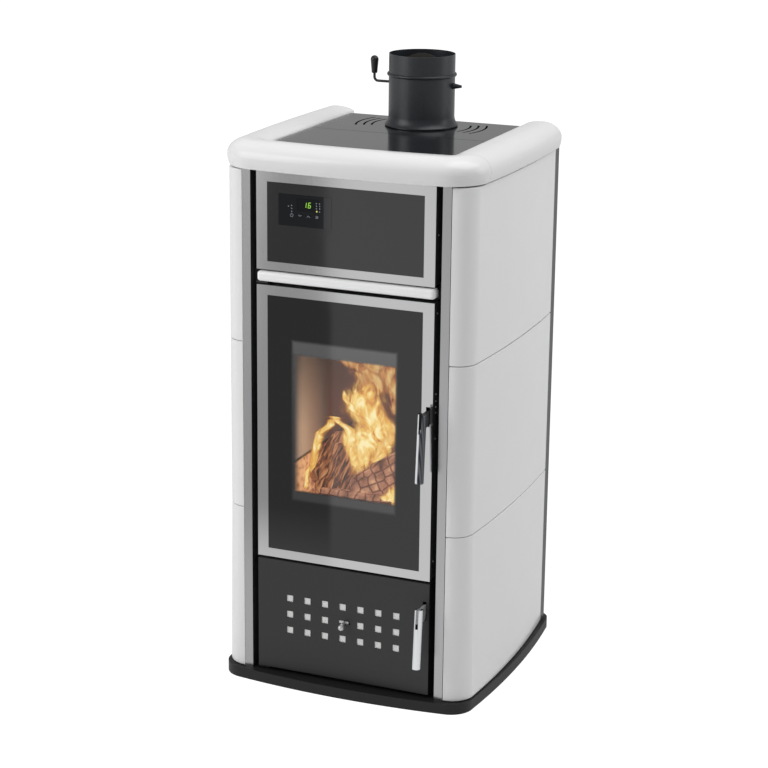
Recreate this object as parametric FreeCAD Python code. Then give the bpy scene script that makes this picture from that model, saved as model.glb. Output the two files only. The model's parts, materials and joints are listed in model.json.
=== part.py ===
# Wood-burning boiler stove, every piece its own solid, in millimetres.
# Origin on the floor under the middle of the plinth, +X to the user's right, +Y to the back, +Z up.
import FreeCAD
import Part
import math
import os

V = FreeCAD.Vector
X_AXIS = V(1, 0, 0)
Y_AXIS = V(0, 1, 0)
Z_AXIS = V(0, 0, 1)
ORIGIN = V(0, 0, 0)

# Clearances and cuts shared by all pieces
overrun = 5.0            # how far a cut runs past the face it opens
running_gap = 0.05       # pins and shafts in their bores, on the radius
slide_gap = 0.5          # each face of the air shutter
seal_gap = 0.3           # rope seals from the jamb they close on
pane_gap = 0.5           # around panes and inserts
fit_gap = 0.3            # loose pieces beside their neighbours

# Plinth: folded steel tray, bowed in front, with an inward lip that the casing stands on
base_side_margin = 9.25    # past the tiles at the corners; the sides bow out from there
base_depth_margin = 88.5   # deeper than the tiles, front and back together
base_height = 25.0
base_corner_radius = 55.0
base_back_radius = 40.0
base_bow = 17.0
base_side_bow = 14.5
base_sheet = 3.0
base_lip = 42.0
door_setback = 30.0      # door faces behind the foremost point of the plinth
foot_pad_radius = 14.0
foot_stud_radius = 5.0
foot_stud_length = 17.0
foot_boss_size = 44.0
foot_boss_height = 10.0
foot_inset_x = 75.0      # from the plinth's side and ends
foot_inset_y = 110.0

# Ceramic side tiles, three to a side, each turned round the front corner
tile_span = 587.5
tile_count = 3
tile_height = 387.5
tile_joint = 1.5
tile_thickness = 14.0
tile_corner_radius = 48.0
tile_depth = 537.5
tile_setback = 0.7
tile_side_bow = 9.5      # glazed side bows out over a flat back
tile_foot_flare = 6.0    # glazed side of the lowest tile leans out to its foot, save at the back
tile_edge_radius = 2.0

# Steel casing behind the tiles
casing_sheet = 1.5
side_frame_inset = 12.25     # side sheet to the back of the tiles, taken up by the rails
rear_post_gap = 1.5
rear_post_depth = 26.0
rear_post_inset = 0.5        # post behind the tile's face
rear_post_return = 36.0
rear_panel_edge = 15.0       # rear panel above the plinth and under the casing top
rail_height = 20.0
rail_front_inset = 70.0
rail_back_inset = 38.0
rail_place_shares = (1 / 6, 5 / 6)

# Stainless front pillars beside the doors
pillar_width = 20.0
pillar_return = 28.0
pillar_tile_gap = 1.0
trim_sheet = 1.5

# Doors and panel, stacked up the front
door_side_gap = 14.75        # to the pillars
ash_door_bottom = 34.0
ash_door_height = 265.0
door_gap = 6.5
fire_door_height = 633.5
bar_gap = 10.0
bar_height = 22.0
panel_gap = 3.0
panel_top_gap = 1.5
side_border = 26.0
fire_top_border = 22.0
fire_bottom_border = 20.5
panel_top_border = 22.0
panel_bottom_border = 19.0
door_depth = 40.0
seal_depth = 8.0
seal_width = 12.0
door_wall = 4.0
door_web = 4.0
frame_inset = 1.0            # door frame inside the outline of its trim or skin

# Panes
pane_thickness = 4.0
pane_setback = 0.9
pane_bed = 2.0               # sealing tape behind a pane
window_side_border = 73.0     # from the door's edge
window_bottom_rise = 132.0   # above the fire door's lower edge
window_height = 393.0

# Front frame: the jamb plate that both doors close on
frame_plate = 3.0
frame_side_gap = 53.75       # inside the tiles' faces
flange_sheet = 2.0
mouth_side_border = 60.0     # from the door's edge
fire_mouth_bottom = 372.0
fire_mouth_height = 500.0
ash_mouth_bottom = 66.0
ash_mouth_height = 202.0
mouth_seal_lap = 12.0        # seal outside the mouth it closes
bar_rail_height = 14.0
bar_rail_inset = 6.0
control_window_margin = 8.0

# Ceramic bar between the panel and the fire door
bar_reach = 12.0             # in front of the door faces
bar_depth = 24.0
bar_overhang = 4.0            # past the doors at the right
bar_left_inset = 4.0         # short of the doors' left edge, clear of the hinge
bar_end_radius = 10.0
bar_front_share = 0.6        # rounded part of its depth

# Boiler vessel
boiler_side_room = 88.75     # inside the tiles' faces
boiler_back_room = 65.5      # shorter than the tiles
boiler_bottom = 45.0
boiler_plate = 4.0
runner_inset = 55.0          # inner edge from the vessel's side
runner_width = 50.0
runner_end_inset = 12.0
firebox_side_room = 45.0     # water space beside it
firebox_back_room = 94.0     # water space behind it
firebox_bottom = 60.0
firebox_top = 885.0
firebox_plate = 5.0
shelf_top = 323.0
grate_hole_half_width = 90.0
grate_hole_front = 55.0
grate_hole_depth = 220.0
tube_radius = 24.0
tube_wall = 2.5
tube_pitch_x = 70.0
tube_columns = 4
tube_rows_from_front = (130.0, 240.0)
smoke_height = 130.0
smoke_top_gap = 3.5          # under the casing top
smoke_inset = 7.0
smoke_plate = 3.0
spigot_height = 35.0
spigot_wall = 2.0

# Firebox furniture
brick_thickness = 25.0
brick_top = 800.0
brick_gap = 1.0
brick_front_inset = 6.0
grate_thickness = 10.0
grate_lap = 10.0
grate_slot_count = 9
grate_slot_width = 10.0
grate_slot_margin = 26.0
pan_half_width = 122.0
pan_depth = 335.0
pan_height = 86.0
pan_sheet = 1.5
pan_front_inset = 12.0
pan_grip_width = 110.0
pan_grip_reach = 8.0
pan_grip_height = 6.0
pan_grip_drop = 12.0

# Water connections on the back
socket_radius = 20.7
socket_bore_radius = 15.15
socket_x = 140.0
socket_low_z = 150.0
socket_high_z = 1000.0
socket_reach = 30.0          # past the rear posts
socket_panel_gap = 3.5

# Cornice: glazed ceramic, three hollow pieces round the top
cornice_side_reach = 11.25   # past the tiles' faces
cornice_depth = 90.0
cornice_height = 57.5
cornice_corner_gap = 1.0     # inner corner radius left at the mitre
cornice_bow = 11.0
cornice_side_bow = 8.0       # side pieces bow out like the tiles; their inner edge is straight
cornice_stations = 5         # sections that the side pieces pass through
cornice_bulge_height = 24.0
cornice_bottom_inset = 5.0
cornice_crest_inset = 46.0
cornice_lip_rise = 45.0      # where the inner slope meets the top plates
cornice_wall = 11.0
cornice_seam = 1.0
cornice_back_reach = 8.5     # longer than the tiles
cornice_end_radius = 2.5

# Top frame and top plates
top_sheet = 2.0
top_frame_side_inset = 7.75  # inside the tiles' faces
top_frame_side_bow = 2.0
top_frame_front = -6.0
top_frame_corner_radius = 80.0
top_frame_back_radius = 6.0
upstand_side_inset = 88.75
upstand_front = 79.0
upstand_back_inset = 11.5
plate_side_inset = 80.75
plate_sheet = 3.0
plate_edge_gap = 1.5
plate_seam_setback = 300.0
plate_seam = 2.0
plate_back_inset = 9.5
vent_steps = (38.0, 56.0, 75.0)   # outside the pipe
vent_width = 5.0
vent_half_angle = 22.0

# Flue pipe and damper
flue_back_gap = 24.5         # from the tiles' back edge
flue_radius = 76.0
flue_wall = 1.5
flue_rise = 165.5            # above the top plates
bead_drop = 47.0             # under the rim
bead_radius = 4.0
flare_reach = 8.0            # outside the pipe
flare_bottom_gap = 2.0
flare_lip = 2.0
flare_rise = 20.0
flue_hole_gap = 1.0
damper_drop = 70.0           # under the rim
damper_shaft_radius = 3.0
damper_bend_radius = 9.0
damper_handle_reach = 42.0   # from the pipe to the upright end of the rod
damper_handle_rise = 18.0
damper_cone_length = 20.0
damper_cone_radius = 7.0
damper_tip_radius = 3.0
damper_cone_gap = 1.0
blade_thickness = 1.5
blade_edge_gap = 4.5         # inside the pipe
blade_gap = 0.1
grip_bulb_length = 40.0
grip_bulb_neck_radius = 6.5
grip_bulb_radius = 9.2

# Door hinges: pivot pins standing on brackets that reach forward from the jamb
hinge_inset = 10.0           # from the door's edge
hinge_setback = 16.0
hinge_pin_radius = 4.0
hinge_pin_length = 14.0
hinge_block = 20.0
bracket_half_width = 14.0
bracket_front = 6.0
bracket_plate = 4.0
middle_bracket_plate = 3.0
bracket_lift = 2.0
bracket_tab_height = 30.0
bracket_tab_width = 10.0
bracket_tab_front = 20.0

# Door handles: slotted bars on levers that turn in the door
lever_inset = 11.0           # from the door's edge
lever_thickness = 6.0
lever_setback = 8.0          # pivot behind the door face
lever_pin_radius = 4.0
lever_slot_half_width = 4.5
lever_top = 6.5
lever_drop = 27.0
lever_nose_reach = 43.0      # in front of the pivot
hook_reach = 28.0            # behind the pivot
hook_half_height = 4.0
hook_tooth = 5.0
hook_tooth_rise = 2.5
latch_slot_up = 14.5
latch_slot_down = 30.0
latch_pocket_half_width = 8.5
latch_block_wall = 3.0
grip_radius = 10.0
grip_reach = 42.0            # grip's middle in front of the pivot
grip_head = 9.0              # above the pivot
grip_slot_depth = 44.0
grip_slot_gap = 0.2
grip_edge = 1.5
fire_grip_length = 155.0
fire_grip_top = 702.0
fire_grip_tilt = 4.5
ash_grip_length = 138.0
ash_grip_top = 251.0
ash_grip_tilt = 5.0
keeper_pin_radius = 2.5
keeper_pin_back = 20.0       # behind the pivot
keeper_pin_up = 10.0
keeper_ear = 3.0
keeper_ear_half_height = 12.0
keeper_ear_gap = 1.5

# Ash door: pierced skin over a sliding air shutter
skin_return = 30.0
air_columns = 7
air_rows = 3
air_pitch_x = 43.6
air_pitch_z = 38.6
air_square = 16.0
air_middle_height = 171.5
air_slot_height = 7.2
shutter_thickness = 2.0
shutter_margin = 17.0
shutter_side_margin = 30.0
guide_height = 6.0
knob_stem_radius = 3.0
knob_x = 5.0
knob_stem_reach = 15.0
knob_ball_radius = 7.2
knob_ball_drop = 6.0
knob_height_rise = 2.5

# Control unit in the upper panel
control_left = -157.0
control_width = 125.0
control_bottom = 1077.0
control_height = 69.0
control_depth = 30.0
control_proud = 0.5
lens_left_inset = 45.0
lens_width = 50.0
lens_bottom_rise = 36.0
lens_height = 25.0
lens_thickness = 1.0
key_names = ("power_key", "down_key", "up_key", "menu_key")
key_radius = 4.5
key_pitch = 20.0
key_first_inset = 32.0
key_rise = 24.0
key_proud = 0.8
key_depth = 3.6
key_well = 4.2

# Sizes that follow
tile_half = tile_span / 2
base_width = tile_span + 2 * base_side_margin
base_depth = tile_depth + base_depth_margin
door_y = door_setback - base_depth / 2
pillar_outer = tile_half - tile_corner_radius - pillar_tile_gap
pillar_inner = pillar_outer - pillar_width
half_door = pillar_inner - door_side_gap
window_half_width = half_door - window_side_border
mouth_half_width = half_door - mouth_side_border
frame_half_width = tile_half - frame_side_gap
boiler_half_width = tile_half - boiler_side_room
boiler_depth = tile_depth - boiler_back_room
runner_inner_x = boiler_half_width - runner_inset
firebox_half_width = boiler_half_width - firebox_side_room
firebox_depth = boiler_depth - firebox_back_room
ash_door_top = ash_door_bottom + ash_door_height
fire_door_bottom = ash_door_top + door_gap
fire_door_top = fire_door_bottom + fire_door_height
bar_bottom = fire_door_top + bar_gap
bar_top = bar_bottom + bar_height
panel_bottom = bar_top + panel_gap
casing_top = base_height + tile_joint + tile_count * (tile_height + tile_joint)
panel_top = casing_top - panel_top_gap
smoke_top = casing_top - smoke_top_gap
boiler_top = smoke_top - smoke_height
jamb_y = door_y + door_depth + seal_depth
boiler_y = jamb_y + frame_plate
boiler_back_y = boiler_y + boiler_depth
firebox_y = boiler_y + boiler_plate
firebox_back_y = firebox_y + firebox_depth
tile_front_y = door_y + tile_setback
tile_back_y = tile_front_y + tile_depth
tile_inner = tile_half - tile_thickness
side_frame_x = tile_inner - side_frame_inset
rear_post_y = tile_back_y + rear_post_gap
rear_post_back_y = rear_post_y + rear_post_depth
cornice_bottom = casing_top + top_sheet
plate_top = cornice_bottom + cornice_lip_rise
plate_bottom = plate_top - plate_sheet
plate_half_width = tile_half - plate_side_inset
plate_back_setback = tile_depth - plate_back_inset
upstand_half_width = tile_half - upstand_side_inset
upstand_back = tile_depth - upstand_back_inset
cornice_half_width = tile_half + cornice_side_reach
cornice_back_setback = tile_depth + cornice_back_reach
top_frame_half_width = tile_half - top_frame_side_inset
top_frame_back = cornice_back_setback
cornice_corner_radius = cornice_depth + cornice_corner_gap
cornice_corner_y = door_y - door_setback + cornice_bow + cornice_corner_radius
flue_y = door_y + tile_depth - flue_back_gap - flue_radius
flare_radius = flue_radius + flare_reach
blade_radius = flue_radius - flue_wall - blade_edge_gap
vent_radii = [flue_radius + step for step in vent_steps]
flue_rim = plate_top + flue_rise
bead_height = flue_rim - bead_drop
damper_height = flue_rim - damper_drop
hinge_x = hinge_inset - half_door
lever_x = half_door - lever_inset
spigot_radius = flue_radius - flue_wall - pane_gap
hinge_y = door_y + hinge_setback
lever_y = door_y + lever_setback
pane_y = door_y + pane_setback
web_y = pane_y + pane_thickness + pane_bed
fire_lever_z = fire_grip_top - grip_head
ash_lever_z = ash_grip_top - grip_head
knob_z = air_middle_height + knob_height_rise


# Small builders
def block(x0, x1, y0, y1, z0, z1):
    """Box between two corners."""
    return Part.makeBox(x1 - x0, y1 - y0, z1 - z0, V(x0, y0, z0))


def rod(radius, start, end):
    """Round bar between two points."""
    return Part.makeCylinder(radius, (end - start).Length, start, end - start)


def tube(outer_radius, inner_radius, start, end):
    """Round tube between two points."""
    return rod(outer_radius, start, end).cut(rod(inner_radius, start, end))


def ring(half_width, z0, z1, border, y0, y1):
    """Upright rectangular ring, its border measured inwards."""
    outer = block(-half_width, half_width, y0, y1, z0, z1)
    hole_half = half_width - border
    return outer.cut(block(-hole_half, hole_half, y0, y1, z0 + border, z1 - border))


def prism(points, direction):
    """Polygon pushed along a direction."""
    return Part.Face(Part.makePolygon(points + points[:1])).extrude(direction)


def fused(shapes):
    """One solid from touching or lapping shapes."""
    return shapes[0].fuse(shapes[1:]).removeSplitter()


def mirrored(shape):
    """The same piece on the other side."""
    return shape.mirror(ORIGIN, X_AXIS)


def bowed_face(half_width, front_y, back_y, corner_radius, back_radius, bow, side_bow, z):
    """Plan outline with bowed front and sides and rounded corners, at height z."""
    centre_x = half_width - corner_radius
    centre_y = front_y + bow + corner_radius
    turn = math.asin(2 * bow * centre_x / (centre_x ** 2 + bow ** 2))
    middle = (turn + math.pi / 2) / 2

    def on_corner(side, angle):
        return V(side * (centre_x + corner_radius * math.sin(angle)),
                 centre_y - corner_radius * math.cos(angle), z)

    def back_corner(side, angle):
        return V(side * (half_width - back_radius + back_radius * math.cos(angle)),
                 back_y - back_radius + back_radius * math.sin(angle), z)

    quarter = math.pi / 2
    bow_arc = Part.Arc(on_corner(-1, turn), V(0, front_y, z), on_corner(1, turn))
    right_arc = Part.Arc(on_corner(1, turn), on_corner(1, middle), on_corner(1, quarter))
    side_y = (centre_y + back_y - back_radius) / 2
    bulge = half_width + side_bow
    right_side = Part.Arc(on_corner(1, quarter), V(bulge, side_y, z), back_corner(1, 0))
    back_right = Part.Arc(back_corner(1, 0), back_corner(1, quarter / 2), back_corner(1, quarter))
    back_line = Part.LineSegment(back_corner(1, quarter), back_corner(-1, quarter))
    back_left = Part.Arc(back_corner(-1, quarter), back_corner(-1, quarter / 2), back_corner(-1, 0))
    left_side = Part.Arc(back_corner(-1, 0), V(-bulge, side_y, z), on_corner(-1, quarter))
    left_arc = Part.Arc(on_corner(-1, quarter), on_corner(-1, middle), on_corner(-1, turn))
    curves = [bow_arc, right_arc, right_side, back_right, back_line, back_left, left_side, left_arc]
    return Part.Face(Part.Wire([curve.toShape() for curve in curves]))


# Plinth and feet
def foot_places():
    """Middles of the four feet on the floor."""
    x = base_width / 2 - foot_inset_x
    y = base_depth / 2 - foot_inset_y
    return [V(sx * x, sy * y, 0) for sx in (-1, 1) for sy in (-1, 1)]


def base_plinth():
    def layer(inset, z0, z1):
        face = bowed_face(base_width / 2 - inset, inset - base_depth / 2, base_depth / 2 - inset,
                          base_corner_radius - inset, base_back_radius - min(inset, base_back_radius / 2),
                          base_bow, base_side_bow, z0)
        return face.extrude(V(0, 0, z1 - z0))

    plinth = layer(0, 0, base_height)
    plinth = plinth.cut(layer(base_sheet, base_sheet, base_height - base_sheet))
    plinth = plinth.cut(layer(base_lip, base_height - base_sheet, base_height))
    for place in foot_places():
        half = foot_boss_size / 2
        boss = block(place.x - half, place.x + half, place.y - half, place.y + half,
                     base_sheet, base_sheet + foot_boss_height)
        plinth = plinth.fuse(boss)
        recess_top = place + V(0, 0, base_sheet)
        plinth = plinth.cut(rod(foot_pad_radius + fit_gap, place, recess_top))
        thread_end = recess_top + V(0, 0, foot_boss_height)
        plinth = plinth.cut(rod(foot_stud_radius + running_gap, recess_top, thread_end))
    return plinth.removeSplitter()


def levelling_feet():
    feet = []
    for place in foot_places():
        pad_top = place + V(0, 0, base_sheet - fit_gap)
        stud_top = pad_top + V(0, 0, foot_stud_length)
        feet.append(fused([rod(foot_pad_radius, place, pad_top),
                           rod(foot_stud_radius, pad_top, stud_top)]))
    return Part.makeCompound(feet)


# Casing
def front_frame():
    half_mouth = mouth_half_width
    cut_y0 = jamb_y - overrun
    cut_y1 = boiler_y + overrun
    plate = block(-frame_half_width, frame_half_width, jamb_y, boiler_y, base_sheet, casing_top)
    plate = plate.cut(block(-half_mouth, half_mouth, cut_y0, cut_y1, fire_mouth_bottom,
                            fire_mouth_bottom + fire_mouth_height))
    plate = plate.cut(block(-half_mouth, half_mouth, cut_y0, cut_y1, ash_mouth_bottom,
                            ash_mouth_bottom + ash_mouth_height))
    margin = control_window_margin
    plate = plate.cut(block(control_left - margin, control_left + control_width + margin, cut_y0, cut_y1,
                            control_bottom - margin, control_bottom + control_height + margin))
    flange_x = pillar_inner + trim_sheet
    flange = block(flange_x, flange_x + flange_sheet, door_y + trim_sheet, jamb_y, base_height, casing_top)
    rail_z = bar_bottom + (bar_height - bar_rail_height) / 2
    rail_half = half_door - bar_rail_inset
    rail = block(-rail_half, rail_half, door_y - bar_reach + bar_depth, jamb_y, rail_z,
                 rail_z + bar_rail_height)
    hollow = block(-rail_half, rail_half, door_y - bar_reach + bar_depth + flange_sheet, jamb_y,
                   rail_z + flange_sheet, rail_z + bar_rail_height - flange_sheet)
    return fused([plate, flange, mirrored(flange), rail.cut(hollow)])


def right_front_pillar():
    face = block(pillar_inner, pillar_outer, door_y, door_y + trim_sheet, base_height, casing_top)
    side = block(pillar_outer - trim_sheet, pillar_outer, door_y + trim_sheet,
                 door_y + pillar_return, base_height, casing_top)
    return fused([face, side])


def right_side_frame():
    """One folded sheet: front return, side, and the open post behind the tiles."""
    sheet = casing_sheet
    post_x = tile_half - rear_post_inset
    z0, z1 = base_height, casing_top
    front = block(frame_half_width, side_frame_x, boiler_y - sheet, boiler_y, z0, z1)
    side = block(side_frame_x - sheet, side_frame_x, boiler_y, rear_post_y, z0, z1)
    step = block(side_frame_x - sheet, post_x, rear_post_y, rear_post_y + sheet, z0, z1)
    post = block(post_x - sheet, post_x, rear_post_y + sheet, rear_post_back_y, z0, z1)
    back = block(post_x - rear_post_return, post_x - sheet, rear_post_back_y - sheet,
                 rear_post_back_y, z0, z1)
    return fused([front, side, step, post, back])


def rear_panel():
    half = tile_half - rear_post_inset - rear_post_return + rear_panel_edge / 2
    back = rear_post_back_y - casing_sheet
    panel = block(-half, half, back - casing_sheet, back, base_height + rear_panel_edge,
                  casing_top - rear_panel_edge)
    for z in (socket_low_z, socket_high_z):
        hole = rod(socket_radius + socket_panel_gap, V(socket_x, back - casing_sheet, z),
                   V(socket_x, back, z))
        panel = panel.cut(hole)
    return panel


def tile_outline(z, flare):
    """Outline of a right tile at one height, its glazed side moved out by a flare save at the back."""
    corner_x = tile_half - tile_corner_radius
    corner_y = tile_front_y + tile_corner_radius

    def on_arc(radius, share, moved_out=0):
        angle = share * math.pi / 2
        return V(corner_x + radius * math.sin(angle) + moved_out, corner_y - radius * math.cos(angle), z)

    inner_radius = tile_corner_radius - tile_thickness
    outer_back = V(tile_half, tile_back_y, z)
    inner_back = V(tile_inner, tile_back_y, z)
    half_share = 0.5
    lean = 2 * math.atan(2 * tile_side_bow / (tile_back_y - corner_y))
    turn_share = 1 - 2 * lean / math.pi
    turn_middle = on_arc(tile_corner_radius, turn_share * half_share, flare * half_share)
    bow_start = on_arc(tile_corner_radius, turn_share, flare)
    bow_middle = V(tile_half + tile_side_bow + flare, (bow_start.y + tile_back_y) / 2, z)
    curves = [
        Part.Arc(on_arc(tile_corner_radius, 0), turn_middle, bow_start),
        Part.Arc(bow_start, bow_middle, outer_back),
        Part.LineSegment(outer_back, inner_back),
        Part.LineSegment(inner_back, on_arc(inner_radius, 1)),
        Part.Arc(on_arc(inner_radius, 1), on_arc(inner_radius, half_share), on_arc(inner_radius, 0)),
        Part.LineSegment(on_arc(inner_radius, 0), on_arc(tile_corner_radius, 0)),
    ]
    return Part.Wire([curve.toShape() for curve in curves])


def right_tile(index):
    z0 = base_height + tile_joint + index * (tile_height + tile_joint)
    corner_x = tile_half - tile_corner_radius
    corner_y = tile_front_y + tile_corner_radius
    inner_radius = tile_corner_radius - tile_thickness
    if index == 0:
        foot = tile_outline(z0, tile_foot_flare)
        tile = Part.makeLoft([foot, tile_outline(z0 + tile_height, 0)], True, True)
    else:
        tile = Part.Face(tile_outline(z0, 0)).extrude(V(0, 0, tile_height))
    reach = tile_thickness / 2
    glazed = []
    for edge in tile.Edges:
        point = edge.CenterOfMass
        from_corner = math.hypot(point.x - corner_x, point.y - corner_y)
        on_side = point.y > corner_y and point.x > tile_half - reach
        on_turn = point.y <= corner_y and from_corner > inner_radius + reach
        flat = abs(edge.BoundBox.ZLength) < tile_edge_radius
        if flat and (on_side or on_turn) and abs(point.y - tile_back_y) > reach:
            if edge.Length > tile_thickness + reach:
                glazed.append(edge)
    return tile.makeFillet(tile_edge_radius, glazed)


def tile_rails():
    """Open channels between the side sheets and the tiles, two behind each tile."""
    rails = []
    for index in range(tile_count):
        z0 = base_height + tile_joint + index * (tile_height + tile_joint)
        for share in rail_place_shares:
            low = z0 + share * tile_height - rail_height / 2
            y0 = tile_front_y + rail_front_inset
            y1 = tile_back_y - rail_back_inset
            bar = block(side_frame_x, tile_inner, y0, y1, low, low + rail_height)
            bar = bar.cut(block(side_frame_x + casing_sheet, tile_inner, y0, y1, low + casing_sheet,
                                low + rail_height - casing_sheet))
            rails.extend([bar, mirrored(bar)])
    return Part.makeCompound(rails)


# Top of the stove
def top_frame():
    outline = bowed_face(top_frame_half_width, door_y + top_frame_front, door_y + top_frame_back,
                         top_frame_corner_radius, top_frame_back_radius, cornice_bow,
                         top_frame_side_bow, casing_top)
    sheet = outline.extrude(V(0, 0, top_sheet))
    y0 = door_y + upstand_front
    y1 = door_y + upstand_back
    half = upstand_half_width
    sheet = sheet.cut(block(-half, half, y0, y1, casing_top, cornice_bottom))
    wall = block(-half, half, y0, y1, casing_top, plate_bottom)
    hole = block(top_sheet - half, half - top_sheet, y0 + top_sheet, y1 - top_sheet,
                 casing_top, plate_bottom)
    return fused([sheet, wall.cut(hole)])


def section_face(edges):
    return Part.Face(Part.Wire(Part.__sortEdges__([edge.toShape() for edge in edges])))


def cornice_section(y, swell):
    """Right-hand section: outer round, crest and a low slope to the top plates, widened by the swell."""
    widening = 1 + swell / cornice_depth
    inner_x = cornice_half_width - cornice_depth

    def at(inset, rise):
        return V(inner_x + (cornice_depth - inset) * widening, y, cornice_bottom + rise)

    sweep = (cornice_bottom_inset ** 2 + cornice_bulge_height ** 2) / (2 * cornice_bottom_inset)
    half_angle = math.asin(cornice_bulge_height / sweep) / 2
    belly = at(sweep - sweep * math.cos(half_angle), cornice_bulge_height - sweep * math.sin(half_angle))
    crest = at(cornice_crest_inset, cornice_height)
    outer = Part.Ellipse(at(0, cornice_bulge_height), crest, at(cornice_crest_inset, cornice_bulge_height))
    inner = Part.Ellipse(at(cornice_depth, cornice_lip_rise), crest,
                         at(cornice_crest_inset, cornice_lip_rise))
    return section_face([
        Part.LineSegment(at(cornice_depth, 0), at(cornice_bottom_inset, 0)),
        Part.Arc(at(cornice_bottom_inset, 0), belly, at(0, cornice_bulge_height)),
        Part.ArcOfEllipse(outer, 0, math.pi / 2),
        Part.ArcOfEllipse(inner, 0, math.pi / 2),
        Part.LineSegment(at(cornice_depth, cornice_lip_rise), at(cornice_depth, 0)),
    ])


def cornice_hollow():
    """Section of the space inside the casting, open below."""
    y = cornice_corner_y

    def at(inset, rise):
        return V(cornice_half_width - inset, y, cornice_bottom + rise)

    far = cornice_depth - cornice_wall
    crest = at(cornice_crest_inset, cornice_height - cornice_wall)
    waist = at(cornice_crest_inset, cornice_bulge_height)
    outer = Part.Ellipse(at(cornice_wall, cornice_bulge_height), crest, waist)
    inner = Part.Ellipse(at(far, cornice_bulge_height), crest, waist)
    return section_face([
        Part.LineSegment(at(far, -overrun), at(cornice_wall, -overrun)),
        Part.LineSegment(at(cornice_wall, -overrun), at(cornice_wall, cornice_bulge_height)),
        Part.ArcOfEllipse(outer, 0, math.pi / 2),
        Part.ArcOfEllipse(inner, 0, math.pi / 2),
        Part.LineSegment(at(far, cornice_bulge_height), at(far, -overrun)),
    ])


def cornice_front_run(section):
    """Section turned round the right corner, along the bow and round the left corner."""
    centre_x = cornice_half_width - cornice_corner_radius
    inner_radius = (centre_x ** 2 + cornice_bow ** 2) / (2 * cornice_bow)
    turn = math.degrees(math.asin(centre_x / inner_radius))
    corner = V(centre_x, cornice_corner_y, 0)
    left_corner = V(-centre_x, cornice_corner_y, 0)
    bow_centre = V(0, cornice_corner_y - cornice_bow + inner_radius, 0)
    corner_turn = turn - math.degrees(math.pi / 2)
    right_piece = section.revolve(corner, Z_AXIS, corner_turn)
    at_bow = section.copy()
    at_bow.rotate(corner, Z_AXIS, corner_turn)
    bow_piece = at_bow.revolve(bow_centre, Z_AXIS, -2 * turn)
    at_bow.rotate(bow_centre, Z_AXIS, -2 * turn)
    left_piece = at_bow.revolve(left_corner, Z_AXIS, corner_turn)
    return fused([right_piece, bow_piece, left_piece])


def front_cornice():
    return cornice_front_run(cornice_section(cornice_corner_y, 0)).cut(cornice_front_run(cornice_hollow()))


def right_cornice():
    y0 = cornice_corner_y + cornice_seam
    y1 = door_y + cornice_back_setback
    wires = []
    for station in range(cornice_stations):
        share = station / (cornice_stations - 1)
        swell = cornice_side_bow * 4 * share * (1 - share)
        wires.append(cornice_section(cornice_corner_y + share * (y1 - y0), swell).OuterWire)
    outer = Part.makeLoft(wires, True)
    ends = [edge for edge in outer.Edges
            if edge.BoundBox.YLength < cornice_seam and edge.CenterOfMass.y > (y0 + y1) / 2
            and not isinstance(edge.Curve, Part.Line)]
    outer = outer.makeFillet(cornice_end_radius, ends)
    hollow = cornice_hollow().extrude(V(0, y1 - y0 - cornice_wall, 0))
    piece = outer.cut(hollow)
    piece.translate(V(0, cornice_seam, 0))
    return piece


def plate_front_curve(z):
    """Front edge of the top plates, following the bow of the front cornice."""
    end_y = cornice_corner_y + plate_edge_gap
    return Part.Arc(V(-plate_half_width, end_y, z), V(0, end_y - cornice_bow, z),
                    V(plate_half_width, end_y, z))


def top_plate_front():
    z = plate_bottom
    back = door_y + plate_seam_setback - plate_seam / 2
    front = plate_front_curve(z)
    left = front.StartPoint
    right = front.EndPoint
    corners = [right, V(right.x, back, z), V(left.x, back, z), left]
    sides = [Part.LineSegment(a, b).toShape() for a, b in zip(corners, corners[1:])]
    return Part.Face(Part.Wire([front.toShape()] + sides)).extrude(V(0, 0, plate_sheet))


def top_plate_rear():
    front = door_y + plate_seam_setback + plate_seam / 2
    plate = block(-plate_half_width, plate_half_width, front, door_y + plate_back_setback,
                  plate_bottom, plate_top)
    low = V(0, flue_y, plate_bottom)
    high = V(0, flue_y, plate_top)
    plate = plate.cut(rod(flue_radius + flue_hole_gap, low, high))
    for radius in vent_radii:
        for middle in (0, math.pi):
            plate = plate.cut(vent_slot(radius, middle, low))
    return plate


def vent_slot(radius, middle, centre):
    """Curved slot with round ends, concentric with the flue."""
    spread = math.radians(vent_half_angle)
    sweep = math.degrees(2 * spread)
    half = vent_width / 2
    section = Part.Face(Part.makePolygon([
        centre + V(radius - half, 0, 0), centre + V(radius + half, 0, 0),
        centre + V(radius + half, 0, plate_sheet), centre + V(radius - half, 0, plate_sheet),
        centre + V(radius - half, 0, 0)]))
    slot = section.revolve(centre, Z_AXIS, sweep)
    for angle in (0, 2 * spread):
        end = centre + V(radius * math.cos(angle), radius * math.sin(angle), 0)
        slot = slot.fuse(rod(half, end, end + V(0, 0, plate_sheet)))
    slot.rotate(centre, Z_AXIS, math.degrees(middle - spread))
    return slot


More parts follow.
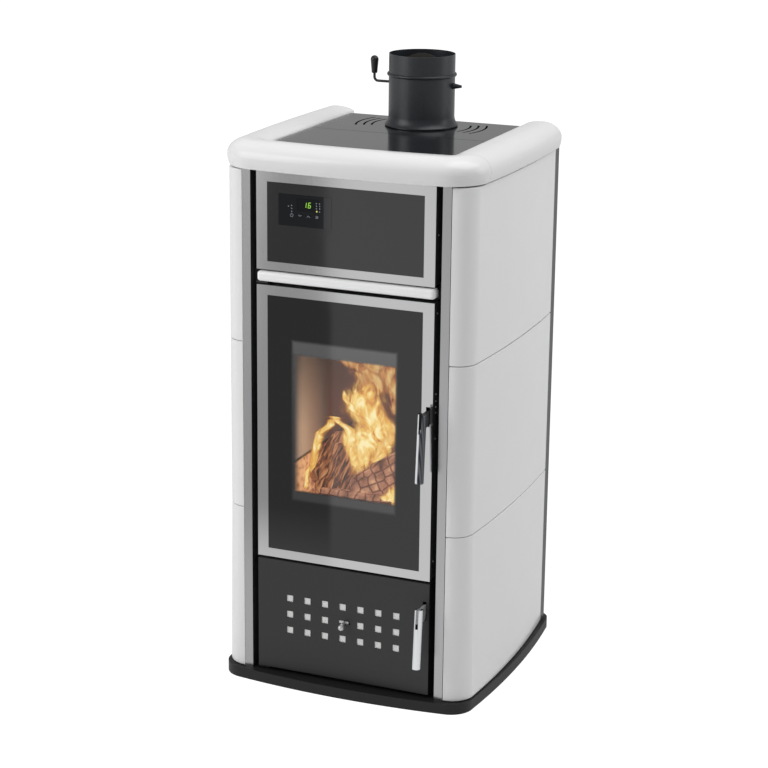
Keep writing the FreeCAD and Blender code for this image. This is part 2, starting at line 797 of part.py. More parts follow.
# Flue and damper
def flue_pipe():
    def at(radius, z):
        return V(radius, 0, z)

    inner = flue_radius - flue_wall
    flare_low = plate_top + flare_bottom_gap
    flare_high = flare_low + flare_lip + flare_rise
    sweep = (flare_reach ** 2 + flare_rise ** 2) / (2 * flare_reach)
    half_turn = math.asin(flare_rise / sweep) / 2
    waist = at(flue_radius + sweep - sweep * math.cos(half_turn), flare_high - sweep * math.sin(half_turn))
    outline = [
        Part.LineSegment(at(inner, smoke_top), at(inner, flue_rim)),
        Part.LineSegment(at(inner, flue_rim), at(flue_radius, flue_rim)),
        Part.LineSegment(at(flue_radius, flue_rim), at(flue_radius, bead_height + bead_radius)),
        Part.Arc(at(flue_radius, bead_height + bead_radius), at(flue_radius + bead_radius, bead_height),
                 at(flue_radius, bead_height - bead_radius)),
        Part.LineSegment(at(flue_radius, bead_height - bead_radius), at(flue_radius, flare_high)),
        Part.Arc(at(flue_radius, flare_high), waist, at(flare_radius, flare_low + flare_lip)),
        Part.LineSegment(at(flare_radius, flare_low + flare_lip), at(flare_radius, flare_low)),
        Part.LineSegment(at(flare_radius, flare_low), at(flue_radius, flare_low)),
        Part.LineSegment(at(flue_radius, flare_low), at(flue_radius, smoke_top)),
        Part.LineSegment(at(flue_radius, smoke_top), at(inner, smoke_top)),
    ]
    face = Part.Face(Part.Wire([edge.toShape() for edge in outline]))
    pipe = face.revolve(ORIGIN, Z_AXIS, math.degrees(2 * math.pi))
    reach = flue_radius + overrun
    pipe = pipe.cut(rod(damper_shaft_radius + running_gap, V(-reach, 0, damper_height),
                        V(reach, 0, damper_height)))
    pipe.translate(V(0, flue_y, 0))
    return pipe


def damper_shaft():
    """Spindle through the pipe, bent up at the left, with a cone nut at the right."""
    z = damper_height
    bend = damper_bend_radius
    turn_x = -flue_radius - damper_handle_reach
    straight_end = V(turn_x + bend, flue_y, z)
    cone_x = flue_radius + damper_cone_gap
    spindle = rod(damper_shaft_radius, straight_end, V(cone_x, flue_y, z))
    elbow = Part.Face(Part.Wire(Part.makeCircle(damper_shaft_radius, straight_end, X_AXIS)))
    elbow = elbow.revolve(straight_end + V(0, 0, bend), Y_AXIS, math.degrees(math.pi / 2))
    upright = rod(damper_shaft_radius, V(turn_x, flue_y, z + bend), V(turn_x, flue_y, z + damper_handle_rise))
    cone = Part.makeCone(damper_cone_radius, damper_tip_radius, damper_cone_length,
                         V(cone_x, flue_y, z), X_AXIS)
    return fused([spindle, elbow, upright, cone])


def damper_blade():
    y0 = flue_y + damper_shaft_radius + blade_gap
    return rod(blade_radius, V(0, y0, damper_height), V(0, y0 + blade_thickness, damper_height))


def damper_grip():
    """Turned grip, slim at the rod and full near its rounded end."""
    x = -flue_radius - damper_handle_reach
    z0 = damper_height + damper_handle_rise
    z1 = z0 + grip_bulb_length - grip_bulb_radius
    bottom = V(x, flue_y, z0)
    neck = V(x + grip_bulb_neck_radius, flue_y, z0)
    shoulder = V(x + grip_bulb_radius, flue_y, z1)
    crown = V(x, flue_y, z1 + grip_bulb_radius)
    rise = grip_bulb_radius * math.sin(math.pi / 4)
    curves = [
        Part.LineSegment(bottom, neck),
        Part.LineSegment(neck, shoulder),
        Part.Arc(shoulder, V(x + rise, flue_y, z1 + rise), crown),
        Part.LineSegment(crown, bottom),
    ]
    face = Part.Face(Part.Wire([curve.toShape() for curve in curves]))
    return face.revolve(bottom, Z_AXIS, math.degrees(2 * math.pi))


# Boiler vessel
def tube_places():
    first = -(tube_columns - 1) / 2
    xs = [(first + column) * tube_pitch_x for column in range(tube_columns)]
    return [(x, firebox_y + y) for x in xs for y in tube_rows_from_front]


def bored_for_tubes(shape, z0, z1):
    for x, y in tube_places():
        shape = shape.cut(rod(tube_radius + running_gap, V(x, y, z0), V(x, y, z1)))
    return shape


def boiler_jacket():
    half = boiler_half_width
    plate = boiler_plate
    shell = block(-half, half, boiler_y, boiler_back_y, boiler_bottom, boiler_top)
    shell = shell.cut(block(plate - half, half - plate, boiler_y + plate, boiler_back_y - plate,
                            boiler_bottom + plate, boiler_top - plate))
    cut_y = boiler_y + plate
    for low, height in ((fire_mouth_bottom, fire_mouth_height), (ash_mouth_bottom, ash_mouth_height)):
        shell = shell.cut(block(-mouth_half_width, mouth_half_width, boiler_y, cut_y, low, low + height))
    shell = bored_for_tubes(shell, boiler_top - plate, boiler_top)
    for z in (socket_low_z, socket_high_z):
        shell = shell.cut(rod(socket_radius + running_gap, V(socket_x, boiler_back_y - plate, z),
                              V(socket_x, boiler_back_y, z)))
    runner = block(runner_inner_x, runner_inner_x + runner_width, boiler_y + runner_end_inset,
                   boiler_back_y - runner_end_inset, base_sheet, boiler_bottom)
    runner = runner.cut(block(runner_inner_x + plate, runner_inner_x + runner_width - plate,
                              boiler_y + runner_end_inset, boiler_back_y - runner_end_inset,
                              base_sheet, boiler_bottom - plate))
    return fused([shell, runner, mirrored(runner)])


def firebox_shell():
    half = firebox_half_width
    plate = firebox_plate
    shell = block(-half, half, firebox_y, firebox_back_y, firebox_bottom, firebox_top)
    shell = shell.cut(block(plate - half, half - plate, firebox_y, firebox_back_y - plate,
                            firebox_bottom + plate, shelf_top - plate))
    shell = shell.cut(block(plate - half, half - plate, firebox_y, firebox_back_y - plate,
                            shelf_top, firebox_top - plate))
    hole_y = firebox_y + grate_hole_front
    shell = shell.cut(block(-grate_hole_half_width, grate_hole_half_width, hole_y,
                            hole_y + grate_hole_depth, shelf_top - plate, shelf_top))
    return bored_for_tubes(shell, firebox_top - plate, firebox_top)


def fire_tubes():
    low = firebox_top - firebox_plate
    return Part.makeCompound([tube(tube_radius, tube_radius - tube_wall, V(x, y, low), V(x, y, boiler_top))
                              for x, y in tube_places()])


def smoke_chamber():
    """Sheet hood over the tube plate, with the spigot that the flue pipe slips over."""
    half = boiler_half_width - smoke_inset
    y0 = boiler_y + smoke_inset
    y1 = boiler_back_y - smoke_plate
    hood = block(-half, half, y0, y1, boiler_top, smoke_top)
    hood = hood.cut(block(smoke_plate - half, half - smoke_plate, y0 + smoke_plate, y1 - smoke_plate,
                          boiler_top, smoke_top - smoke_plate))
    low = V(0, flue_y, smoke_top - smoke_plate)
    high = V(0, flue_y, smoke_top + spigot_height)
    hood = hood.fuse(rod(spigot_radius, low, high))
    return hood.cut(rod(spigot_radius - spigot_wall, low, high)).removeSplitter()


def right_fire_brick():
    inner = firebox_half_width - firebox_plate
    back = firebox_back_y - firebox_plate - brick_thickness - brick_gap
    return block(inner - brick_thickness, inner, firebox_y + brick_front_inset, back, shelf_top, brick_top)


def rear_fire_brick():
    half = firebox_half_width - firebox_plate - brick_gap
    back = firebox_back_y - firebox_plate
    return block(-half, half, back - brick_thickness, back, shelf_top, brick_top)


def fire_grate():
    half = grate_hole_half_width + grate_lap
    y0 = firebox_y + grate_hole_front - grate_lap
    y1 = firebox_y + grate_hole_front + grate_hole_depth + grate_lap
    grate = block(-half, half, y0, y1, shelf_top, shelf_top + grate_thickness)
    pitch = 2 * (half - grate_slot_margin) / (grate_slot_count - 1)
    for index in range(grate_slot_count):
        x = grate_slot_margin - half + index * pitch
        grate = grate.cut(block(x - grate_slot_width / 2, x + grate_slot_width / 2, y0 + grate_slot_margin,
                                y1 - grate_slot_margin, shelf_top, shelf_top + grate_thickness))
    return grate


def ash_pan():
    floor = firebox_bottom + firebox_plate
    y0 = firebox_y + pan_front_inset
    y1 = y0 + pan_depth
    tray = block(-pan_half_width, pan_half_width, y0, y1, floor, floor + pan_height)
    tray = tray.cut(block(pan_sheet - pan_half_width, pan_half_width - pan_sheet, y0 + pan_sheet,
                          y1 - pan_sheet, floor + pan_sheet, floor + pan_height))
    grip_top = floor + pan_height - pan_grip_drop
    half = pan_grip_width / 2
    grip = block(-half, half, y0 - pan_grip_reach, y0, grip_top - pan_grip_height, grip_top)
    return fused([tray, grip])


def water_sockets():
    mouth = rear_post_back_y + socket_reach
    root = boiler_back_y - boiler_plate
    return Part.makeCompound([tube(socket_radius, socket_bore_radius, V(socket_x, root, z),
                                   V(socket_x, mouth, z)) for z in (socket_low_z, socket_high_z)])


# Upper panel and its control unit
def framed_trim(z0, z1, top_border, bottom_border):
    sheet = block(-half_door, half_door, door_y, door_y + trim_sheet, z0, z1)
    hole_half = half_door - side_border
    return sheet.cut(block(-hole_half, hole_half, door_y, door_y + trim_sheet, z0 + bottom_border,
                           z1 - top_border))


def pane(z0, z1, top_border, bottom_border):
    half = half_door - side_border - pane_gap
    return block(-half, half, pane_y, pane_y + pane_thickness, z0 + bottom_border + pane_gap,
                 z1 - top_border - pane_gap)


def pane_pocket(z0, z1, top_border, bottom_border):
    half = half_door - side_border
    return block(-half, half, door_y, web_y, z0 + bottom_border, z1 - top_border)


def upper_panel_trim():
    return framed_trim(panel_bottom, panel_top, panel_top_border, panel_bottom_border)


def upper_panel_glass():
    glass = pane(panel_bottom, panel_top, panel_top_border, panel_bottom_border)
    gap = fit_gap
    return glass.cut(block(control_left - gap, control_left + control_width + gap, door_y, web_y,
                           control_bottom - gap, control_bottom + control_height + gap))


def upper_panel_frame():
    """Open pan that carries the trim and the pane, standing on the jamb."""
    half = half_door - frame_inset
    z0 = panel_bottom + frame_inset
    z1 = panel_top - frame_inset
    y0 = door_y + trim_sheet
    body = block(-half, half, y0, jamb_y, z0, z1)
    body = body.cut(pane_pocket(panel_bottom, panel_top, panel_top_border, panel_bottom_border))
    wall = door_wall
    body = body.cut(block(wall - half, half - wall, web_y + door_web, jamb_y, z0 + wall, z1 - wall))
    window_half = half_door - side_border - seal_width
    return body.cut(block(-window_half, window_half, web_y, web_y + door_web,
                          panel_bottom + panel_bottom_border + seal_width,
                          panel_top - panel_top_border - seal_width))


def key_places():
    z = control_bottom + key_rise
    first = control_left + key_first_inset
    return [V(first + index * key_pitch, pane_y - control_proud, z) for index in range(len(key_names))]


def control_housing():
    y0 = pane_y - control_proud
    body = block(control_left, control_left + control_width, y0, y0 + control_depth,
                 control_bottom, control_bottom + control_height)
    body = body.cut(block(*lens_span(pane_gap), y0, y0 + lens_thickness, *lens_rise(pane_gap)))
    for place in key_places():
        body = body.cut(rod(key_radius + fit_gap, place, place + V(0, key_well, 0)))
    return body


def lens_span(margin):
    left = control_left + lens_left_inset
    return left - margin, left + lens_width + margin


def lens_rise(margin):
    low = control_bottom + lens_bottom_rise
    return low - margin, low + lens_height + margin


def display_lens():
    y0 = pane_y - control_proud
    return block(*lens_span(0), y0, y0 + lens_thickness, *lens_rise(0))


def control_key(place):
    start = place - V(0, key_proud, 0)
    key = rod(key_radius, start, start + V(0, key_depth, 0))
    rim = [edge for edge in key.Edges if abs(edge.CenterOfMass.y - start.y) < running_gap]
    return key.makeFillet(key_proud / 2, rim)


def ceramic_bar():
    """Glazed bar, round along its front and at both ends."""
    y0 = door_y - bar_reach
    y1 = y0 + bar_depth
    bar = block(bar_left_inset - half_door, half_door + bar_overhang, y0, y1, bar_bottom, bar_top)
    upright = [edge for edge in bar.Edges
               if edge.CenterOfMass.y < y0 + fit_gap and edge.BoundBox.ZLength > bar_height / 2]
    bar = bar.makeFillet(bar_end_radius, upright)
    rims = [edge for edge in bar.Edges
            if edge.CenterOfMass.y < y1 - fit_gap and edge.BoundBox.ZLength < bar_height / 2]
    return bar.makeFillet(bar_height * bar_front_share / 2, rims)


# Hinges and latches
def hinge_pin(z0, z1):
    return rod(hinge_pin_radius, V(hinge_x, hinge_y, z0), V(hinge_x, hinge_y, z1))


def hinge_brackets():
    x0 = hinge_x - bracket_half_width
    x1 = hinge_x + bracket_half_width
    y0 = door_y + bracket_front
    top_low = fire_door_top + bracket_lift
    top_plate = block(x0, x1, y0, jamb_y, top_low, top_low + bracket_plate)
    tab = block(x0 - bracket_tab_width, x0, door_y + bracket_tab_front, jamb_y, top_low,
                top_low + bracket_tab_height)
    top = fused([top_plate, tab, hinge_pin(top_low - hinge_pin_length, top_low)])
    middle_low = ash_door_top + (door_gap - middle_bracket_plate) / 2
    middle_high = middle_low + middle_bracket_plate
    middle = fused([block(x0, x1, y0, jamb_y, middle_low, middle_high),
                    hinge_pin(middle_low - hinge_pin_length, middle_high + hinge_pin_length)])
    bottom_high = ash_door_bottom - bracket_lift
    bottom = fused([block(x0, x1, y0, jamb_y, bottom_high - bracket_plate, bottom_high),
                    hinge_pin(bottom_high, bottom_high + hinge_pin_length)])
    return Part.makeCompound([top, middle, bottom])


def latch_keeper(pivot_z):
    """Ear on the jamb with a cross pin, inside the pocket of the closed door."""
    pin_y = lever_y + keeper_pin_back
    pin_z = pivot_z + keeper_pin_up
    pocket_x = lever_x - latch_pocket_half_width
    ear_x = pocket_x + keeper_ear_gap
    half = keeper_ear_half_height
    ear = block(ear_x, ear_x + keeper_ear, pin_y - 2 * keeper_pin_radius, jamb_y,
                pin_z - half, pin_z + keeper_pin_radius)
    pin = rod(keeper_pin_radius, V(ear_x + keeper_ear, pin_y, pin_z),
              V(lever_x + lever_thickness / 2, pin_y, pin_z))
    return fused([ear, pin])


def latch_keepers():
    return Part.makeCompound([latch_keeper(fire_lever_z), latch_keeper(ash_lever_z)])


def handle_lever(pivot_z):
    """Flat lever: tall nose in the grip's slot, eye on the pivot, hook behind."""
    x0 = lever_x - lever_thickness / 2

    def at(forward, up):
        return V(x0, lever_y - forward, pivot_z + up)

    hook = hook_half_height
    outline = [
        at(lever_nose_reach, lever_top),
        at(lever_nose_reach, -lever_drop),
        at(lever_setback + lever_top, -lever_drop),
        at(0, -lever_top),
        at(-hook_reach, -hook),
        at(-hook_reach, hook + hook_tooth_rise),
        at(hook_tooth - hook_reach, hook + hook_tooth_rise),
        at(hook_tooth - hook_reach, hook),
        at(0, lever_top),
    ]
    plate = prism(outline, V(lever_thickness, 0, 0))
    eye = rod(lever_pin_radius + running_gap, V(x0, lever_y, pivot_z),
              V(x0 + lever_thickness, lever_y, pivot_z))
    return plate.cut(eye)


def handle_grip(pivot_z, length, tilt):
    """Round bar, slotted from its top for the lever."""
    y = lever_y - grip_reach
    top = V(lever_x, y, pivot_z + grip_head)
    bar = rod(grip_radius, top - V(0, 0, length), top)
    rims = [edge for edge in bar.Edges if edge.BoundBox.ZLength < grip_edge]
    bar = bar.makeFillet(grip_edge, rims)
    slot_half = lever_thickness / 2 + grip_slot_gap
    slot = block(lever_x - slot_half, lever_x + slot_half, y - grip_radius - overrun,
                 y + grip_radius + overrun, top.z - grip_slot_depth, top.z + overrun)
    bar = bar.cut(slot)
    bar.rotate(top, X_AXIS, -tilt)
    return bar


# Doors
def latch_slot(pivot_z, half_width, y0, y1):
    return block(lever_x - half_width, lever_x + half_width, y0, y1, pivot_z - latch_slot_down,
                 pivot_z + latch_slot_up)


def latch_block(pivot_z, y0, y1):
    """Boxed pocket for the latch, before it is hollowed."""
    wall = latch_block_wall
    return block(lever_x - latch_pocket_half_width - wall, half_door - frame_inset, y0, y1,
                 pivot_z - latch_slot_down - wall, pivot_z + latch_slot_up + wall)


def lever_pin(pivot_z):
    half = latch_pocket_half_width
    return rod(lever_pin_radius, V(lever_x - half, lever_y, pivot_z), V(lever_x + half, lever_y, pivot_z))


def hinge_corner(z0, z1, y0):
    half = hinge_block / 2
    return block(frame_inset - half_door, hinge_x + half, y0, hinge_y + half, z0, z1)


def seal_outline(mouth_bottom, mouth_height):
    """Half width, lower and upper edge of the rope seal round a mouth."""
    reach = mouth_seal_lap + seal_width
    return mouth_half_width + reach, mouth_bottom - reach, mouth_bottom + mouth_height + reach


def door_carcass(z0, z1, front_y, seal):
    """Open-backed pan with a rail for the seal, hinge corners and a latch box."""
    half = half_door - frame_inset
    y1 = door_y + door_depth
    wall = door_wall
    body = block(-half, half, front_y, y1, z0, z1)
    inside_y = front_y + door_web
    body = body.cut(block(wall - half, half - wall, inside_y, y1, z0 + wall, z1 - wall))
    seal_half, seal_low, seal_high = seal
    rail = ring(seal_half, seal_low, seal_high, seal_width, inside_y, y1)
    low_corner = hinge_corner(z0, z0 + hinge_block, front_y)
    high_corner = hinge_corner(z1 - hinge_block, z1, front_y)
    return body.fuse([rail, low_corner, high_corner])


def finished_door(body, z0, z1, pivot_z, front_y):
    """Carcass with its hinge bores, latch pocket and latch pin."""
    y1 = door_y + door_depth
    body = body.fuse(latch_block(pivot_z, front_y, y1))
    body = body.cut(latch_slot(pivot_z, latch_pocket_half_width, door_y, y1))
    bore = hinge_pin_radius + running_gap
    for low, high in ((z0, z0 + hinge_pin_length), (z1 - hinge_pin_length, z1)):
        body = body.cut(rod(bore, V(hinge_x, hinge_y, low), V(hinge_x, hinge_y, high)))
    return body.fuse(lever_pin(pivot_z)).removeSplitter()


def fire_door_frame():
    z0 = fire_door_bottom + frame_inset
    z1 = fire_door_top - frame_inset
    seal = seal_outline(fire_mouth_bottom, fire_mouth_height)
    body = door_carcass(z0, z1, web_y, seal)
    half = half_door - frame_inset
    y0 = door_y + trim_sheet
    border = block(-half, half, y0, web_y, z0, z1)
    pocket = pane_pocket(fire_door_bottom, fire_door_top, fire_top_border, fire_bottom_border)
    body = body.fuse(border.cut(pocket))
    low = fire_door_bottom + window_bottom_rise
    wall = door_wall
    body = body.fuse(block(-window_half_width - wall, window_half_width + wall, web_y, door_y + door_depth,
                           low - wall, low + window_height + wall))
    body = body.cut(block(-window_half_width, window_half_width, web_y, door_y + door_depth,
                          low, low + window_height))
    return finished_door(body, z0, z1, fire_lever_z, y0)


def fire_door_trim():
    trim = framed_trim(fire_door_bottom, fire_door_top, fire_top_border, fire_bottom_border)
    return trim.cut(latch_slot(fire_lever_z, lever_slot_half_width, door_y, door_y + trim_sheet))


def fire_door_glass():
    return pane(fire_door_bottom, fire_door_top, fire_top_border, fire_bottom_border)


def rope_seal(mouth_bottom, mouth_height):
    half, low, high = seal_outline(mouth_bottom, mouth_height)
    y0 = door_y + door_depth
    rope = ring(half, low, high, seal_width, y0, jamb_y - seal_gap)
    return rope


def air_places():
    """Middles of the air squares; the knob takes the middle one."""
    half_columns = (air_columns - 1) / 2
    half_rows = (air_rows - 1) / 2
    places = []
    for column in range(air_columns):
        for row in range(air_rows):
            if column != half_columns or row != half_rows:
                places.append(((column - half_columns) * air_pitch_x,
                               air_middle_height + (row - half_rows) * air_pitch_z))
    return places


def air_holes(shift, y0, y1):
    half = air_square / 2
    return [block(x + shift - half, x + shift + half, y0, y1, z - half, z + half) for x, z in air_places()]


shutter_y = door_y + trim_sheet + slide_gap
ash_web_y = shutter_y + shutter_thickness + slide_gap
shutter_shift = air_pitch_x / 2       # squares aside when the air is shut
shutter_reach = air_pitch_x / 4       # travel each way
shutter_half_height = (air_rows - 1) / 2 * air_pitch_z + air_square / 2 + shutter_margin
shutter_half_width = (air_columns - 1) / 2 * air_pitch_x + air_square / 2 + shutter_side_margin


def ash_door_skin():
    y1 = door_y + trim_sheet
    sheet = block(-half_door, half_door, door_y, y1, ash_door_bottom, ash_door_top)
    side = block(half_door - frame_inset, half_door, y1, y1 + skin_return, ash_door_bottom, ash_door_top)
    skin = fused([sheet, side, mirrored(side)])
    for hole in air_holes(0, door_y, y1):
        skin = skin.cut(hole)
    reach = knob_stem_radius + slide_gap + shutter_reach
    skin = skin.cut(block(knob_x - reach, knob_x + reach, door_y, y1, knob_z - air_slot_height / 2,
                          knob_z + air_slot_height / 2))
    return skin.cut(latch_slot(ash_lever_z, lever_slot_half_width, door_y, y1))


def ash_door_frame():
    z0 = ash_door_bottom + frame_inset
    z1 = ash_door_top - frame_inset
    seal = seal_outline(ash_mouth_bottom, ash_mouth_height)
    half = half_door - frame_inset - fit_gap
    body = door_carcass(z0, z1, ash_web_y, seal)
    trimmed = block(-half, half, door_y, jamb_y, z0, z1)
    y0 = door_y + trim_sheet
    span = shutter_half_width + shutter_reach
    guides = []
    for low in (air_middle_height - shutter_half_height - fit_gap - guide_height,
                air_middle_height + shutter_half_height + fit_gap):
        guides.append(block(-span, span, y0, ash_web_y, low, low + guide_height))
    body = body.fuse(guides)
    for hole in air_holes(0, ash_web_y, ash_web_y + door_web):
        body = body.cut(hole)
    return finished_door(body, z0, z1, ash_lever_z, y0).common(trimmed).removeSplitter()


def air_shutter():
    """Plate whose squares stand half a pitch aside when the air is shut."""
    y1 = shutter_y + shutter_thickness
    plate = block(-shutter_half_width, shutter_half_width, shutter_y, y1,
                  air_middle_height - shutter_half_height, air_middle_height + shutter_half_height)
    for hole in air_holes(-shutter_shift, shutter_y, y1):
        plate = plate.cut(hole)
    return plate


def air_knob():
    tip = V(knob_x, door_y - knob_stem_reach, knob_z)
    stem = rod(knob_stem_radius, V(knob_x, shutter_y, knob_z), tip)
    ball = Part.makeSphere(knob_ball_radius, tip - V(0, knob_stem_radius, knob_ball_drop))
    return fused([stem, ball])


def all_pieces():
    """Every node by name."""
    pieces = {
        "base_plinth": base_plinth(),
        "levelling_feet": levelling_feet(),
        "front_frame": front_frame(),
        "right_front_pillar": right_front_pillar(),
        "right_side_frame": right_side_frame(),
        "rear_panel": rear_panel(),
        "tile_rails": tile_rails(),
        "top_frame": top_frame(),
        "front_cornice": front_cornice(),
        "right_cornice": right_cornice(),
        "top_plate_front": top_plate_front(),
        "top_plate_rear": top_plate_rear(),
        "flue_pipe": flue_pipe(),
        "damper_shaft": damper_shaft(),
        "damper_blade": damper_blade(),
        "damper_grip": damper_grip(),
        "boiler_jacket": boiler_jacket(),
        "firebox_shell": firebox_shell(),
        "fire_tubes": fire_tubes(),
        "smoke_chamber": smoke_chamber(),
        "right_fire_brick": right_fire_brick(),
        "rear_fire_brick": rear_fire_brick(),
        "fire_grate": fire_grate(),
        "ash_pan": ash_pan(),
        "water_sockets": water_sockets(),
        "upper_panel_frame": upper_panel_frame(),
        "upper_panel_trim": upper_panel_trim(),
        "upper_panel_glass": upper_panel_glass(),
        "control_housing": control_housing(),
        "display_lens": display_lens(),
        "ceramic_bar": ceramic_bar(),
        "hinge_brackets": hinge_brackets(),
        "latch_keepers": latch_keepers(),
        "fire_door_frame": fire_door_frame(),
        "fire_door_trim": fire_door_trim(),
        "fire_door_glass": fire_door_glass(),
        "fire_door_seal": rope_seal(fire_mouth_bottom, fire_mouth_height),
        "fire_handle_lever": handle_lever(fire_lever_z),
        "fire_handle_grip": handle_grip(fire_lever_z, fire_grip_length, fire_grip_tilt),
        "ash_door_skin": ash_door_skin(),
        "ash_door_frame": ash_door_frame(),
        "ash_door_seal": rope_seal(ash_mouth_bottom, ash_mouth_height),
        "ash_handle_lever": handle_lever(ash_lever_z),
        "ash_handle_grip": handle_grip(ash_lever_z, ash_grip_length, ash_grip_tilt),
        "air_shutter": air_shutter(),
        "air_knob": air_knob(),
    }
    for index, level in enumerate(("lower", "middle", "upper")):
        pieces["right_tile_" + level] = right_tile(index)
    for name in [name for name in pieces if name.startswith("right_")]:
        pieces[name.replace("right_", "left_", 1)] = mirrored(pieces[name])
    for name, place in zip(key_names, key_places()):
        pieces[name] = control_key(place)
    return pieces


os.makedirs("parts", exist_ok=True)
for node, shape in all_pieces().items():
    shape.exportStep("parts/" + node + ".step")
    print(node, len(shape.Solids), "valid" if shape.isValid() else "NOT VALID", round(shape.Volume))
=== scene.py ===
import json
import math
import bmesh
import bpy
from mathutils import Matrix, Vector, noise


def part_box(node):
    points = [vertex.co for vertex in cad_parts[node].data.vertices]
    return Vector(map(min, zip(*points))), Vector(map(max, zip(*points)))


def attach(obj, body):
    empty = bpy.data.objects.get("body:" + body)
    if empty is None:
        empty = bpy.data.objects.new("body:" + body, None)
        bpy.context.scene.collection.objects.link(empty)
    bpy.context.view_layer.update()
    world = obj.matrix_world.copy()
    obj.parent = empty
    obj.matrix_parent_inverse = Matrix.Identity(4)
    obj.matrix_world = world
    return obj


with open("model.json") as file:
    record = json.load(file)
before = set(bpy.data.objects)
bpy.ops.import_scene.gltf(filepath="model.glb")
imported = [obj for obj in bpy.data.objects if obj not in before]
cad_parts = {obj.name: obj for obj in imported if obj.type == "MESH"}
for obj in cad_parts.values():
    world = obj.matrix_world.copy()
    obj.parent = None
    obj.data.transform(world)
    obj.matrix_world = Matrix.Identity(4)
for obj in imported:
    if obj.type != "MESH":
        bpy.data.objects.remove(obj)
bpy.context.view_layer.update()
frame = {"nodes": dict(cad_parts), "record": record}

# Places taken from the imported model, in metres
MM = 0.001
door_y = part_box("fire_door_trim")[0][1]
door_side_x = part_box("fire_door_frame")[1][0]
panel_side_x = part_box("upper_panel_frame")[1][0]
overlay_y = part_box("control_housing")[0][1]
lens_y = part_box("display_lens")[0][1]
strip_width = 17.5 * MM
bed_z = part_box("fire_grate")[1][2]

# Camera at the photo's angle, fitted to the stove's own edges
camera_place = Vector((1.837682, -4.202779 + door_y, 2.072716))
camera_yaw = math.radians(22.515)
camera_pitch = math.radians(16.245)
camera_roll = math.radians(0.644)

# Clear part of the fire door pane, and the hazy strips along its top and bottom
window_half_width = 129 * MM
window_low = 445 * MM
window_high = 823 * MM
haze_low = 26 * MM
haze_high = 35 * MM
haze_side = 4 * MM
left_fade = 12 * MM
window_fade = 9 * MM

# Joint between the two courses of the fire lining, which drops across their front ends
course_top = 531 * MM
lining_face = -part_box("left_fire_brick")[1][0]


def colour(code):
    """Linear colour from an sRGB hex code."""
    parts = [int(code[i:i + 2], 16) / 255 for i in (1, 3, 5)]
    return tuple(c / 12.92 if c <= 0.04045 else ((c + 0.055) / 1.055) ** 2.4 for c in parts) + (1.0,)


def add(tree, kind, inputs=None, **settings):
    """Adds a node, sets its settings, and fills or links its inputs."""
    made = tree.nodes.new("ShaderNode" + kind)
    for name, value in settings.items():
        setattr(made, name, value)
    for name, value in (inputs or {}).items():
        if isinstance(value, bpy.types.NodeSocket):
            tree.links.new(value, made.inputs[name])
        else:
            made.inputs[name].default_value = value
    return made


def start(name):
    """A new material with an empty tree and its output node."""
    made = bpy.data.materials.new(name)
    made.use_nodes = True
    tree = made.node_tree
    tree.nodes.clear()
    return made, tree, tree.nodes.new("ShaderNodeOutputMaterial")


def ramp(tree, factor, stops):
    """Colour ramp from (position, hex) stops."""
    made = add(tree, "ValToRGB", {"Fac": factor})
    elements = made.color_ramp.elements
    while len(elements) < len(stops):
        elements.new(0.5)
    for element, (place, code) in zip(elements, stops):
        element.position = place
        element.color = colour(code)
    return made.outputs["Color"]


def maths(tree, operation, first, second=0.0, third=0.0, clamp=False):
    """One sum of up to three values."""
    made = add(tree, "Math", {0: first, 1: second, 2: third}, operation=operation, use_clamp=clamp)
    return made.outputs[0]


def span(tree, value, low, high, to_low=0.0, to_high=1.0, smooth=False):
    """Value moved from one range to another and held at its ends."""
    shape = "SMOOTHSTEP" if smooth else "LINEAR"
    made = add(tree, "MapRange", {"Value": value, "From Min": low, "From Max": high, "To Min": to_low,
                                  "To Max": to_high}, interpolation_type=shape)
    return made.outputs["Result"]


def blend(tree, factor, first, second):
    """Mix of two colours."""
    return add(tree, "Mix", {"Factor": factor, 6: first, 7: second}, data_type="RGBA").outputs[2]


def place_axes(tree):
    """X, Y and Z of the object's own place in metres."""
    place = add(tree, "TexCoord").outputs["Object"]
    return add(tree, "SeparateXYZ", {"Vector": place}).outputs


def grain(tree, scale, stretch=(1, 1, 1), detail=3.0):
    """Noise over the object's own metres, stretched along its axes."""
    place = add(tree, "TexCoord").outputs["Object"]
    turned = add(tree, "Mapping", {"Vector": place, "Scale": stretch})
    return add(tree, "TexNoise", {"Vector": turned.outputs["Vector"], "Scale": scale, "Detail": detail})


def bump(tree, height, strength, depth):
    """Normal bent by a height."""
    return add(tree, "Bump", {"Height": height, "Strength": strength, "Distance": depth}).outputs["Normal"]


def surface(name, code, rough, metal=0.0, grain_scale=400.0, stretch=(1, 1, 1), vary=0.06, relief=0.02,
            relief_depth=0.0003, coat=0.0, shine=0.5):
    """Painted, plated or glazed surface: a colour that drifts a little, and a fine relief."""
    made, tree, out = start(name)
    texture = grain(tree, grain_scale, stretch)
    base = colour(code)
    dark = tuple(c * (1 - vary) for c in base[:3]) + (1.0,)
    light = tuple(min(1.0, c * (1 + vary)) for c in base[:3]) + (1.0,)
    mixed = blend(tree, texture.outputs["Fac"], dark, light)
    uneven = maths(tree, "MULTIPLY_ADD", texture.outputs["Fac"], 0.1, rough - 0.05)
    shader = add(tree, "BsdfPrincipled", {
        "Base Color": mixed, "Roughness": uneven, "Metallic": metal, "Specular IOR Level": shine,
        "Coat Weight": coat, "Coat Roughness": 0.04,
        "Normal": bump(tree, texture.outputs["Fac"], relief, relief_depth)})
    tree.links.new(shader.outputs[0], out.inputs["Surface"])
    return made


# Clear glaze over white ceramic: bright body, sharp soft-box reflections, faint waviness
white_glaze = surface("white_glazed_ceramic", "#EDEDED", 0.24, grain_scale=9, vary=0.01, relief=0.03,
                      relief_depth=0.002, coat=0.25)
